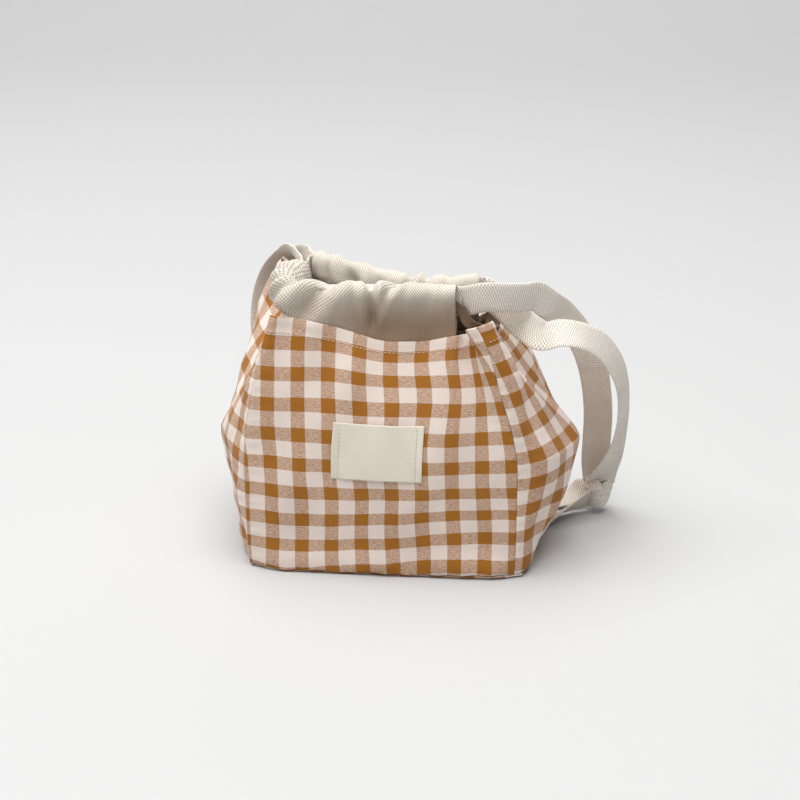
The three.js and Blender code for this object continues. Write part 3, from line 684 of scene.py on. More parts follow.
undyed = {
    "raised": (0.0, 0.4, 0.35, 1.0), "onTop": (0.25, 0.65, 0.3, 1.0),  # yarn height and order, to tone
    "stray": 0.3, "streakStart": 0.6, "fleckShare": 0.7, "fleckTone": (0.16, 0.11, 0.07),
    "patch": 30.0, "worn": (0.12, 0.92), "rough": (0.14, 0.83), "heatherHeight": 0.35,
}


def naturalMaterial(name):
    make = naturals[name]
    material, tree, shader, place = newMaterial(name, roughness=0.95, sheen=0.15)
    laid = movePlace(tree, "MULTIPLY", place, (make["ribs"], 1.0, 1.0))
    threads = useGroup(
        tree, weave, Place=laid, Pitch=make["pitch"], Twill=make["twill"], Wander=undyed["stray"])
    yarns = useGroup(tree, yarn, Place=place, Fleck=make["fleck"])
    raised = between(tree, threads["Height"], *undyed["raised"])
    onTop = between(tree, threads["Over"], *undyed["onTop"])
    streaked = calc(tree, "ADD", yarns["Streak"], undyed["streakStart"])
    mixed = calc(tree, "MULTIPLY", calc(tree, "MULTIPLY", raised, onTop), streaked)
    cloth = mixTones(tree, mixed, tone(make["dark"]), tone(make["light"]))
    flecks = calc(tree, "MULTIPLY", yarns["Flecks"], undyed["fleckShare"])
    flecked = mixTones(tree, flecks, cloth, tone(undyed["fleckTone"]))
    worn = useGroup(tree, handled, Place=place, Patch=undyed["patch"])
    shade = calc(tree, "MULTIPLY_ADD", worn["Tone"], *undyed["worn"])
    # Painted shade: the second place's Y mixes the cloth towards a darker, warmer tint where it lies in
    # shadow
    seamAndShade = splitPlace(tree, placeOn(tree, "seamPlace"))
    paintedShadeTint = mixTones(tree, seamAndShade["Y"], tone((1, 1, 1)), tone(make["paintedShade"]))
    shaded = mixTones(tree, 1.0, greyTone(tree, shade), paintedShadeTint, "MULTIPLY")
    tree.links.new(mixTones(tree, 1.0, flecked, shaded, "MULTIPLY"), shader.inputs["Base Color"])
    addRoughness(tree, shader, yarns["Heather"], undyed)
    fuzz = calc(tree, "MULTIPLY", yarns["Heather"], undyed["heatherHeight"])
    addBump(tree, shader, calc(tree, "ADD", threads["Height"], fuzz), make["bump"])
    return material


# Label cloth: fine cream cotton with a faint rib
cream = {
    "low": (0.70, 0.64, 0.52), "high": (0.86, 0.81, 0.70), "fleckTone": (0.45, 0.36, 0.24),
    "pitch": 0.4, "stray": 0.2, "fleck": 0.7, "fleckShare": 0.35,
    "rough": (0.12, 0.82), "threadHeight": 0.6, "bump": 0.2,
}


def labelMaterial():
    material, tree, shader, place = newMaterial("labelCotton", roughness=0.9, sheen=0.1)
    threads = useGroup(tree, weave, Place=place, Pitch=cream["pitch"], Twill=0.0, Wander=cream["stray"])
    yarns = useGroup(tree, yarn, Place=place, Fleck=cream["fleck"])
    cloth = mixTones(tree, yarns["Streak"], tone(cream["low"]), tone(cream["high"]))
    flecks = calc(tree, "MULTIPLY", yarns["Flecks"], cream["fleckShare"])
    flecked = mixTones(tree, flecks, cloth, tone(cream["fleckTone"]))
    tree.links.new(flecked, shader.inputs["Base Color"])
    addRoughness(tree, shader, yarns["Heather"], cream)
    raised = calc(tree, "MULTIPLY", threads["Height"], cream["threadHeight"])
    addBump(tree, shader, calc(tree, "ADD", raised, yarns["Heather"]), cream["bump"])
    return material


# Sewing thread: two plies twisted together
sewing = {
    "rimThread": {"light": (0.76, 0.62, 0.54), "dark": (0.50, 0.37, 0.30)},
    "labelThread": {"light": (0.78, 0.72, 0.60), "dark": (0.52, 0.46, 0.35)},
    "twist": (9.0, 7.0),  # turn of the plies round and along the thread, per millimetre
    "bump": 0.08, "bumpStrength": 0.6,
}


def threadMaterial(name):
    material, tree, shader, place = newMaterial(name, roughness=0.7, sheen=0.2)
    split = splitPlace(tree, place)
    turn = weighted(tree, split["X"], sewing["twist"][0], split["Y"], sewing["twist"][1])
    ply = calc(tree, "MULTIPLY_ADD", calc(tree, "SINE", turn), 0.5, 0.5)
    cloth = mixTones(tree, ply, tone(sewing[name]["dark"]), tone(sewing[name]["light"]))
    tree.links.new(cloth, shader.inputs["Base Color"])
    addBump(tree, shader, ply, sewing["bump"], sewing["bumpStrength"])
    return material


ginghamCloth = ginghamMaterial()
canvasCloth = naturalMaterial("casingCanvas")
liningCloth = naturalMaterial("liningCotton")
webbingCloth = naturalMaterial("webbingTwill")
labelCloth = labelMaterial()
rimThread = threadMaterial("rimThread")
labelThread = threadMaterial("labelThread")
print("materials made")


# Gingham walls: outer face, rolled rim and inner face in one closed section

wallMake = {
    "columns": {"front": 132, "right": 92, "back": 110, "left": 88},
    "rows": 84,
    "edgeRows": (0.0, 0.0012, 0.003, 0.006),  # close rows beside the foot seam
    "seamDip": 0.7, "seamReach": 1.0,  # groove where two panels are sewn together
    "seamColumns": (0.2, 0.45, 0.75, 1.1),  # close columns beside a side seam, in reaches
    "thinnest": 0.1,  # cloth left behind a groove
    "rimRoll": (30, 60, 90, 120, 150),
    "wrap": 6.5, "wrapFrom": 0.97, "wrapTo": 0.72,  # right gusset's cloth reaches round to the front
    "cornerRound": 5.0, "cornerPasses": 14, "cornerFade": 2.5,
    "liningDrop": {"front": 8.3, "right": 1.1, "back": 8.3, "left": 1.1},  # below the rim
}


# Distance along each wall's outline for a share of its own cloth
def clothAlong(name, share, height):
    wrap = wallMake["wrap"] * smoothRise(wallMake["wrapFrom"], wallMake["wrapTo"], height)
    if name == "front":
        return share * (wallLength(name) - wrap)
    if name == "right":
        return share * (wallLength(name) + wrap) - wrap
    return share * wallLength(name)


def wrappedPoint(name, along, height, depth):
    own = clothPoint(name, np.clip(along, 0, None) / wallLength(name), height, depth)
    if name != "right":
        return own
    width = wallLength("front")
    before = clothPoint("front", 1 + np.clip(along, None, 0) / width, height, depth)
    points = np.where((along < 0)[..., None], before, own)
    ease = hump(along / wallMake["cornerRound"]) * smoothRise(0, wallMake["cornerFade"], along - along[:1])
    for _ in range(wallMake["cornerPasses"]):
        middle = points.copy()
        middle[1:-1] = (points[:-2] + points[2:]) / 2
        points += 0.5 * ease[..., None] * (middle - points)
    return points


def closeToEnds(count, reach):
    even = np.linspace(0, 1, count)
    near = reach * np.array(wallMake["seamColumns"])
    return np.unique(np.concatenate([even, near, 1 - near]))


def wallSections(name, outerDepth, innerDepth, top, dipped):
    width = wallLength(name)
    shares = closeToEnds(wallMake["columns"][name], wallMake["seamReach"] / width)
    heights = np.unique(np.concatenate([np.linspace(0, top, wallMake["rows"]), wallMake["edgeRows"]]))
    heights = np.append(heights, heightBelowRim(name, relief["stitchDrop"]))
    heights = np.unique(heights[heights <= top])
    middle = (outerDepth + innerDepth) / 2
    half = (innerDepth - outerDepth) / 2
    roll = np.radians(wallMake["rimRoll"])
    rowHeights = np.concatenate([heights, np.full(len(roll), top), heights[::-1]])
    rowDepths = np.concatenate([
        np.full(len(heights), outerDepth), middle - half * np.cos(roll), np.full(len(heights), innerDepth),
    ])
    lift = np.concatenate([0 * heights, half * np.sin(roll), 0 * heights])
    gridShare, gridHeight = np.meshgrid(shares, rowHeights, indexing="ij")
    depth = np.broadcast_to(rowDepths, gridShare.shape).copy()
    if dipped:
        fromSeam = np.minimum(gridShare, 1 - gridShare) * width
        fromFoot = gridHeight * bag["clothHeight"]
        outside = np.arange(len(rowHeights)) < len(heights)
        for away in (fromSeam, fromFoot):
            groove = wallMake["seamDip"] * np.clip(1 - away / wallMake["seamReach"], 0, 1) ** 2
            depth += np.where(outside, groove, 0)
        depth = np.minimum(depth, innerDepth - wallMake["thinnest"] * outside)
    along = clothAlong(name, gridShare, gridHeight) if dipped else gridShare * width
    points = wrappedPoint(name, along, gridHeight, depth)
    count = len(heights)
    upward = unit(points[:, count - 1] - points[:, count - 3])
    points += lift[None, :, None] * upward[:, None, :]
    return points, gridShare, along, gridHeight


def addWalls():
    for name in wallOrder:
        width = wallLength(name)
        points, share, along, height = wallSections(name, 0.0, bag["clothThickness"], 1.0, True)
        swept = sweptCloth(points, ginghamPlace(name, along, height))
        # The distances from the side seam and from the foot set the painted seam shade
        fromSide = np.where(share < 0.5, share, share - 1) * width
        seamsAndShade = np.stack([fromSide, height * bag["clothHeight"]], axis=-1).reshape(-1, 2)
        node = name + ("_panel" if width == bag["baseWidth"] else "_gusset")
        piece = dress(node, "cloth", swept, ginghamCloth, "bag", seamsAndShade)


def addLining():
    for name in wallOrder:
        top = heightBelowRim(name, wallMake["liningDrop"][name])
        inner = liningDepth + bag["liningThickness"]
        points, _, along, height = wallSections(name, liningDepth, inner, top, False)
        places = np.stack([along, height * bag["clothHeight"]], axis=-1)
        piece = dress("lining_" + name, "cloth", sweptCloth(points, places), liningCloth, "bag")


addWalls()
addLining()
print("walls and lining made")


# Base: a tray whose edges roll up to the walls

baseMake = {
    "rollSteps": 7, "flatSteps": 40,
    "bandShift": (5.0, 3.0),  # where the bands lie under the foot
    "farFromSide": 50,  # no side seam runs here
}


def traySide(length, depth):
    roll = bag["edgeRoll"]
    angles = np.radians(np.linspace(90, 0, baseMake["rollSteps"]))
    inset = roll - (roll - depth) * np.sin(angles)
    rise = roll - (roll - depth) * np.cos(angles)
    flat = np.linspace(-0.5, 0.5, baseMake["flatSteps"])[1:-1] * (length - 2 * roll)
    place = np.concatenate([inset - length / 2, flat, (length / 2 - inset)[::-1]])
    height = np.concatenate([rise, np.full(len(flat), depth), rise[::-1]])
    return place, height


def trayPoints(depth):
    x, riseX = traySide(bag["baseWidth"], depth)
    y, riseY = traySide(bag["baseDepth"], depth)
    gridX, gridY = np.meshgrid(x, y, indexing="ij")
    z = np.maximum(riseX[:, None], riseY[None, :])
    return settleFoot(np.stack([gridX, gridY, z], axis=-1))


def addBase():
    for pieceName, depth, thickness, material, slotName in (
        ("base_panel", 0.0, bag["clothThickness"], ginghamCloth, "gingham"),
        ("lining_base", liningDepth, bag["liningThickness"], liningCloth, "canvas"),
    ):
        sections = thereAndBack(trayPoints(depth), trayPoints(depth + thickness))
        places = sections[..., :2] + np.array(baseMake["bandShift"])
        points, faces, flat = sweptCloth(sections, places)
        swept = (points, [face[::-1] for face in faces], flat)
        # The base's rolled edge gets the same painted seam shade
        fromEdge = bag["edgeRoll"] - points[:, 2]
        seamsAndShade = np.stack([0 * fromEdge + baseMake["farFromSide"], fromEdge], axis=-1)
        piece = dress(pieceName, "cloth", swept, material, "bag", None if depth else seamsAndShade)


addBase()
print("base made")


# Smooth route through places; the same curve as the solids follow
def routeThrough(points, perSpan):
    points = np.asarray(points, float)
    padded = np.concatenate([[2 * points[0] - points[1]], points, [2 * points[-1] - points[-2]]])
    made = []
    for i in range(len(points) - 1):
        p0, p1, p2, p3 = padded[i:i + 4]
        d0, d1, d2 = (max(np.linalg.norm(b - a), 1e-8) ** 0.5 for a, b in ((p0, p1), (p1, p2), (p2, p3)))
        leave = ((p1 - p0) / d0 - (p2 - p0) / (d0 + d1) + (p2 - p1) / d1) * d1
        arrive = ((p2 - p1) / d1 - (p3 - p1) / (d1 + d2) + (p3 - p2) / d2) * d1
        t = np.linspace(0, 1, perSpan, endpoint=False)[:, None]
        made.append(p1 + leave * t + (3 * (p2 - p1) - 2 * leave - arrive) * t ** 2
                    + (2 * (p1 - p2) + leave + arrive) * t ** 3)
    return np.concatenate(made + [points[-1:]])


# Casings: gathered canvas tubes on hems sewn in behind the rim. Channel rows are x, y, z and the
# share along the rim. Fold rows are depth and half width, then places: length from the casing's
# first end, share of the way round, share of the depth. Puff rows are length, share round, reaches, height

casing = {
    "halfHeight": 12.3, "halfDepth": 6.8, "squareness": 0.8, "thickness": 0.7,
    "hemThickness": 0.45, "hemDepth": 8.0, "hemGap": 0.1,
    "ringFrom": -12, "ringTo": 192, "ringPoints": 11, "profileSteps": 7, "lengthSteps": 26,
    "tubeFrom": (0.11, 0.20),  # share of the way round over which the hem gives way to the tube
    "gatherRatio": 1.12, "foldPuff": 0.3, "foldPuffAt": (2.0, 0.9),
    "ripple": 0.28, "rippleWaves": [(0.55, 5, 0.0), (0.21, 8, 1.0)],  # turn along, turn round, start
    "topShare": {"front": 0.35, "back": 0.6}, "topSpread": 0.1,  # the top edge gives less than the faces
    # How far the tube leans out: length along it, distance
    "overhang": {"front": [(0, 6.0), (58, 6.0), (90, 1.0), (150, 0.0)], "back": [(0, 0.0)]},
    "overhangAt": (0.44, 0.15),
    # How much painted shade lies on its faces: length along it, share
    "paintedShade": {"front": [(0, 1.0), (58, 1.0), (85, 0.4), (150, 0.3)], "back": [(0, 0.9), (150, 0.9)]},
    # the painted shade grows from the top edge to the lower faces over these shares of the way round
    "paintedShadeFrom": (0.02, 0.34),
    "gathered": 0.88,  # share of its length that a casing keeps when its drawstring is pulled
    "gather": {
        "front": {"joint": "right_drawstring_pull", "axis": (1, 0, 0), "anchor": (-40, -37, 188)},
        "back": {"joint": "left_drawstring_pull", "axis": (0.948, -0.319, 0), "anchor": (20, -10, 188)},
    },
}
channels = {
    "front": [
        [45, -34, 188, 0.7], [20, -33, 188, 0.57], [-5, -34.5, 188, 0.43], [-30, -37, 188, 0.28],
        [-50, -40, 188, 0.16], [-64, -37, 188, 0.085], [-69, -26, 188, 0.06], [-67, -12, 188, 0.05],
        [-62, 2, 188, 0.04],
    ],
    "back": [
        [-53, 24, 188, 0.835], [-44, 17.5, 188, 0.785], [-30, 10.5, 187, 0.71], [-12, 2.5, 185, 0.615],
        [8, -5.5, 184, 0.51], [26, -12.5, 185, 0.41], [44, -16, 187, 0.31], [57, -13, 188, 0.225],
    ],
}
folds = {
    "front": [
        (6.0, 3.0, [(57, 0.56, 0.6), (56, 0.48, 1), (55.4, 0.40, 1), (55.4, 0.30, 0.9), (54.6, 0.18, 0.5)]),
        (5.4, 2.8, [
            (33, 0.57, 0.5), (37, 0.51, 1), (42, 0.46, 1), (47, 0.39, 0.8), (50, 0.30, 0.5), (53, 0.22, 0.2),
        ]),
        (6.0, 5.2, [(101, 0.12, 0.6), (96, 0.25, 0.9), (89, 0.38, 1), (81, 0.48, 1), (76, 0.58, 0.6)]),
        (1.7, 6.0, [(66, 0.46, 0.6), (62, 0.34, 1), (60, 0.24, 0.4)]),
        (4.4, 3.2, [(90, 0.57, 0.7), (100, 0.50, 1), (108, 0.42, 1), (114, 0.33, 0.4)]),
        (5.2, 3.0, [(110, 0.66, 0.7), (113, 0.55, 1), (119, 0.46, 1), (126, 0.38, 0.5)]),
        (5.0, 3.0, [(122, 0.64, 0.8), (128, 0.54, 1), (131, 0.44, 1), (130, 0.32, 0.4)]),
        (4.6, 2.8, [(138, 0.66, 0.8), (140, 0.54, 1), (141, 0.42, 0.8), (138, 0.3, 0.3)]),
        (1.5, 6.0, [(14, 0.44, 0.5), (21, 0.32, 1), (27, 0.2, 0.5)]),
    ],
    "back": [
        (3.0, 3.2, [(8, 0.36, 0.6), (10, 0.5, 1), (14, 0.66, 0.5)]),
        (4.6, 5.5, [(24, 0.40, 0.5), (28, 0.54, 0.8), (34, 0.66, 1), (37, 0.80, 0.6)]),
        (2.4, 5.0, [(47, 0.40, 0.5), (50, 0.54, 1), (55, 0.68, 0.8)]),
        (5.0, 2.6, [(73, 0.38, 0.4), (75, 0.5, 1), (74, 0.62, 1), (71, 0.76, 0.5)]),
        (5.0, 2.6, [(88, 0.36, 0.5), (86, 0.5, 1), (84, 0.62, 1), (86, 0.78, 0.5)]),
        (3.2, 3.0, [(103, 0.36, 0.5), (101, 0.5, 1), (97, 0.64, 0.7)]),
    ],
}
puffs = {
    "front": [
        (104, 0.30, 9, 0.16, 3.0), (74, 0.36, 11, 0.2, 3.2), (24, 0.38, 22, 0.14, 2.2),
        (49, 0.36, 4, 0.2, 1.4), (127, 0.52, 12, 0.2, 3.6), (141, 0.62, 12, 0.24, 4.2),
    ],
    "back": [
        (20, 0.6, 8, 0.2, 1.8), (44, 0.6, 8, 0.2, 1.2), (80, 0.5, 5, 0.15, 1.6), (95, 0.5, 5, 0.15, 1.8),
    ],
}


# Push outward at each point: folds press in and bulge beside themselves, puffs stand out
def casingRelief(name, along, turn, girth):
    push = np.full(along.shape, casing["ripple"])
    for turnAlong, turnRound, start in casing["rippleWaves"]:
        push = push * np.sin(along * turnAlong + turnRound * turn + start)
    puffAt, puffSpread = casing["foldPuffAt"]
    spot = np.stack([along, turn * girth], axis=-1)
    for depth, half, places in folds[name]:
        nearest = np.full(along.shape, 1e9)
        share = np.zeros(along.shape)
        for (s0, t0, d0), (s1, t1, d1) in zip(places[:-1], places[1:]):
            a = np.array([s0, t0 * girth])
            b = np.array([s1, t1 * girth])
            t = np.clip(((spot - a) @ (b - a)) / ((b - a) @ (b - a)), 0, 1)
            far = np.linalg.norm(spot - a - t[..., None] * (b - a), axis=-1)
            share = np.where(far < nearest, d0 + (d1 - d0) * t, share)
            nearest = np.minimum(far, nearest)
        away = nearest / half
        push -= depth * share * (hump(away) - casing["foldPuff"] * hump((away - puffAt) / puffSpread))
    for place, placeRound, reach, reachRound, height in puffs[name]:
        push += height * hump(np.hypot((along - place) / reach, (turn - placeRound) / reachRound))
    return push


def addCasing(name, pieceName):
    rows = np.asarray(channels[name], float)
    line = routeThrough(rows[:, :3], casing["lengthSteps"])
    share = np.interp(np.linspace(0, len(rows) - 1, len(line)), np.arange(len(rows)), rows[:, 3])
    along = lengthsAlong(line)
    forward = unit(np.gradient(line, axis=0))
    up = np.array([0.0, 0.0, 1.0])
    outward = unit(np.cross(up, forward))
    hemFoot = heightBelowRim(name, casing["hemDepth"])
    hemInner = liningDepth + 2 * casing["hemThickness"] + casing["hemGap"]
    profiles = [clothPoint(name, share, height, liningDepth) for height in (hemFoot, 1.0)]
    for angle in np.radians(np.linspace(casing["ringFrom"], casing["ringTo"], casing["ringPoints"])):
        aside, above = (
            math.copysign(abs(v) ** casing["squareness"], v) for v in (math.cos(angle), math.sin(angle)))
        profiles.append(line + outward * casing["halfDepth"] * aside + up * casing["halfHeight"] * above)
    profiles += [clothPoint(name, share, height, hemInner) for height in (1.0, hemFoot)]
    profiles = np.stack(profiles, axis=1)
    smooth = np.stack([routeThrough(profile, casing["profileSteps"]) for profile in profiles])
    around = np.stack([lengthsAlong(profile) for profile in smooth])
    girth = float(around[:, -1].mean())
    turn = around / around[:, -1:]
    alongGrid = np.broadcast_to(along[:, None], turn.shape)
    tangent = unit(np.gradient(smooth, axis=1))
    normal = unit(np.cross(forward[:, None, :], tangent))
    if dot(normal[:, smooth.shape[1] // 3], outward).mean() < 0:
        normal = -normal
    onTube = smoothRise(*casing["tubeFrom"], np.minimum(turn, 1 - turn))
    top = hump((turn - 0.5) / casing["topSpread"])
    push = casingRelief(name, alongGrid, turn, girth) * onTube * (1 - casing["topShare"][name] * top)
    hangAt, hangSpread = casing["overhangAt"]
    hangs = np.interp(alongGrid, *np.array(casing["overhang"][name]).T)
    hangs = hangs * hump((turn - hangAt) / hangSpread) * onTube
    outer = smooth + normal * push[..., None] + outward[:, None, :] * hangs[..., None]
    facing = unit(np.cross(np.gradient(outer, axis=0), np.gradient(outer, axis=1)))
    if dot(facing, normal).mean() < 0:
        facing = -facing
    thickness = casing["hemThickness"] + (casing["thickness"] - casing["hemThickness"]) * onTube
    inner = outer - facing * thickness[..., None]
    flat = np.stack([alongGrid * casing["gatherRatio"], around], axis=-1)
    swept = sweptCloth(thereAndBack(outer, inner), thereAndBack(flat, flat))
    # Painted shade on the casing's lower faces and on the back casing inside the mouth
    paintedShade = np.interp(alongGrid, *np.array(casing["paintedShade"][name]).T)
    paintedShade = paintedShade * smoothRise(*casing["paintedShadeFrom"], np.abs(turn - 0.5))
    paintedShade = thereAndBack(paintedShade, paintedShade)
    seamsAndShade = np.stack([0 * paintedShade, paintedShade], axis=-1).reshape(-1, 2)
    piece = dress(pieceName, "canvas", swept, canvasCloth, "bag", seamsAndShade)
    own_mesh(piece)


for wallName in ("front", "back"):
    addCasing(wallName, wallName + "_casing")
print("casings made")


# Webbing: routes as the solids have them. A row is a place, the direction across, a share of the width

webbing = {
    "width": 20.0, "thickness": 1.4, "spacing": 2.6, "lead": 4.0, "returnLead": 1.5,
    "step": 1.6, "fewestSteps": 8, "spanSteps": 24, "channelSteps": 12,
    "acrossPoints": 9, "edgePower": 10, "thinnest": 0.15,
    "selvedge": 0.12, "selvedgeAt": 0.9, "selvedgeSpread": 0.06, "selvedgeEnd": 0.98,
    "cup": 0.5, "cupWave": 23.0, "cupStart": 0.6, "endFade": 18,
    "paintedShadeShare": (0.95, 0.55),  # width shares over which bunched webbing gets painted shade
    "paintedShadeEnd": (120, 40),  # lengths over which the painted shade on a strand's first stretch fades out
    "flatMiddle": 40, "tailFrom": 300.0, "knotFrom": 260,  # places on the flat webbing
}
upright = (0, 0, 1)
leftReturn = [
    [(-58.8, 9, 188), upright], [(-58.8, 17, 188), upright], [(-58.4, 23, 188), upright],
]
rightLeave = [(46.5, -35.1, 183.6), upright, 0.36]
rightReturn = [
    [(51, -35, 176.2), (0.3, 0, 0.9), 0.34], [(54.8, -32.4, 171.6), (0.5, 0, 0.8), 0.34],
    [(59, -28.5, 168.8), (0.75, -0.2, 0.5), 0.4], [(63.8, -23.5, 167), (0.9, -0.25, 0.3), 0.45],
    [(67, -18, 165.5), (0.97, -0.1, 0.15), 0.5], [(67.5, -11, 165), (0.97, 0.1, 0.15), 0.5],
    [(67.5, -5.5, 172), (0.7, 0.4, 0.6), 0.5], [(65, -6, 181.5), (0.2, 0.2, 0.95), 0.6],
]
strandTurns = {
    "right_front": [
        [(63, -34, 191.5), upright], [(76, -31, 190.5), (0.03, 0, 1)], [(87, -24.5, 188.5), (0.06, 0.02, 1)],
        [(95.5, -16.5, 187), (0.15, 0.1, 0.98)], [(104, -9.5, 179), (0.3, 0.25, 0.9)],
        [(113, -1, 170), (0.45, 0.45, 0.75)], [(121, 7, 158), (0.6, 0.5, 0.6)],
        [(128.5, 15, 143), (0.8, 0.4, 0.4)], [(134.5, 22.5, 125.5), (0.95, 0.15, 0.25)],
        [(138.5, 31, 103.5), (1, -0.03, 0.1)], [(140.5, 39, 80.5), (1, -0.05, 0.02)],
        [(140.5, 46.5, 58), (1, 0, -0.05)], [(140.5, 53, 40), (0.95, 0.1, -0.05)],
        [(142, 56, 24), (0.95, 0.2, 0)],
    ],
    "right_back": [
        [(70, -13.5, 182), (0.25, 0, 0.97)], [(79, -14.5, 175), (0.2, 0.1, 0.97)],
        [(89, -16.5, 166), (0.1, 0.25, 0.95)], [(100, -22.5, 162), (0.05, 0.6, 0.8)],
        [(112, -22.5, 164.5), (0.05, 0.75, 0.66)], [(124, -18.5, 162), (0.15, 0.8, 0.58)],
        [(138, -10, 153), (0.32, 0.8, 0.5)], [(149, -2, 137), (0.38, 0.85, 0.36)],
        [(155, 8, 118), (0.36, 0.91, 0.18)], [(157, 18.5, 94), (0.38, 0.92, 0.08)],
        [(155.5, 29, 69), (0.48, 0.87, 0)], [(151, 39.5, 46), (0.75, 0.6, 0)],
        [(146.5, 47, 32), (0.92, 0.3, 0)], [(145, 49.5, 24), (0.95, 0.2, 0)],
    ],
    "left_front": [
        [(-63, 14, 190), upright], [(-66.5, 25, 190.5), (0.05, -0.5, 0.85)],
        [(-70, 36, 191.3), (0.1, -0.85, 0.5)],
        [(-74.5, 46.5, 190.3), (0, -0.8, 0.6)], [(-81, 56, 182.5), (-0.4, -0.45, 0.75)],
        [(-88.5, 62.5, 172.5), (-0.7, -0.2, 0.6)], [(-94.5, 66, 159.5), (-0.87, 0, 0.38)],
        [(-98.5, 68.5, 143), (-0.95, 0.1, 0.15)], [(-99.5, 71, 120), (-1, 0, 0)],
        [(-98, 74.5, 92), (-1, 0, 0)], [(-95, 78, 64), (-1, 0, 0)], [(-92, 81.5, 40), (-0.97, 0.1, 0)],
        [(-91, 84, 24), (-0.97, 0.1, 0)],
    ],
    "left_back": [
        [(-59.5, 34.5, 187.5), upright], [(-62.5, 45, 187), (0, -0.1, 1)], [(-68.5, 56, 184), (0, -0.1, 1)],
        [(-76.5, 64.5, 177.5), (-0.3, -0.1, 0.9)], [(-84, 71, 168.5), (-0.65, 0, 0.7)],
        [(-89, 75.5, 156), (-0.85, 0.1, 0.35)], [(-91, 78.5, 138), (-0.97, 0.1, 0.1)],
        [(-91, 81.5, 112), (-1, 0, 0)],
        [(-90, 85, 82), (-1, 0, 0)], [(-89, 88, 54), (-1, 0, 0)], [(-88.5, 90, 34), (-0.97, 0.1, 0)],
        [(-88.5, 91, 24), (-0.97, 0.1, 0)],
    ],
}
tailTurns = {
    "right_front": [
        [(140, 49.5, 13), (0.35, -0.15, 0.9)], [(132, 44.5, 11.2), (0.4, -0.35, 0.85)],
        [(123, 37.5, 8.8), (0.35, -0.6, 0.7)], [(114, 31, 5.8), (0.3, -0.8, 0.5)],
        [(106.5, 27.5, 3.4), (0.25, -0.95, 0.2)], [(101, 25.5, 2.4), (0.2, -0.98, 0.1)],
    ],
    "right_back": [
        [(139.5, 57.5, 13), (0.3, 0.05, 0.95)], [(131, 59.5, 10.8), (0.2, 0.3, 0.85)],
        [(121.5, 61, 6), (0.1, 0.9, 0.3)], [(111, 60, 2.6), (-0.3, 0.95, 0.05)],
        [(101, 56, 1.7), (-0.4, 0.9, 0)],
    ],
    "left_front": [
        [(-86, 88.5, 13), (0.2, -0.4, 0.85)], [(-77.5, 91, 11.2), (0.2, -0.45, 0.8)],
        [(-68, 95, 6.8), (0.15, -0.85, 0.4)], [(-57, 99, 2.2), (0.1, -0.98, 0.06)],
        [(-45, 101, 1.6), (0, -1, 0)],
    ],
    "left_back": [
        [(-92, 93, 12.5), (-0.1, -0.3, 0.95)], [(-94, 101, 11), (-0.4, -0.2, 0.85)],
        [(-95, 110, 6.5), (-0.9, -0.1, 0.4)], [(-94, 120, 2.4), (-1, 0, 0.05)], [(-91, 130, 1.8), (-1, 0, 0)],
    ],
}


# A route made even: places, the direction across and the width share at equal steps
def evenRoute(route):
    places = routeThrough([row[0] for row in route], webbing["spanSteps"])
    across = routeThrough([row[1] for row in route], webbing["spanSteps"])
    widths = [row[2] if len(row) > 2 else 1.0 for row in route]
    width = np.interp(np.linspace(0, len(route) - 1, len(places)), np.arange(len(route)), widths)
    along = lengthsAlong(places)
    even = np.linspace(0, along[-1], max(int(along[-1] / webbing["step"]), webbing["fewestSteps"]))
    return pickAt(even, along, np.concatenate([places, across, width[:, None]], axis=1))


def channelLine(name, side):
    rows = np.asarray(channels[name], float)[:, :3]
    line = routeThrough(rows, webbing["channelSteps"])
    outward = unit(np.cross(np.array([0.0, 0.0, 1.0]), np.gradient(line, axis=0)))
    moved = line + outward * side * webbing["spacing"] / 2
    return [[tuple(place), upright] for place in moved[::webbing["channelSteps"]]]


def onward(end, before, distance):
    leave = unit(np.asarray(end, float) - np.asarray(before, float))
    return tuple(np.asarray(end, float) + leave * distance)


# From edge to edge of the webbing, and half its thickness there
def strapEdge(count, least):
    y = np.sin(np.linspace(-0.5, 0.5, count) * np.pi)
    return y, webbing["thickness"] / 2 * np.maximum(1 - np.abs(y) ** webbing["edgePower"], least) ** 0.5


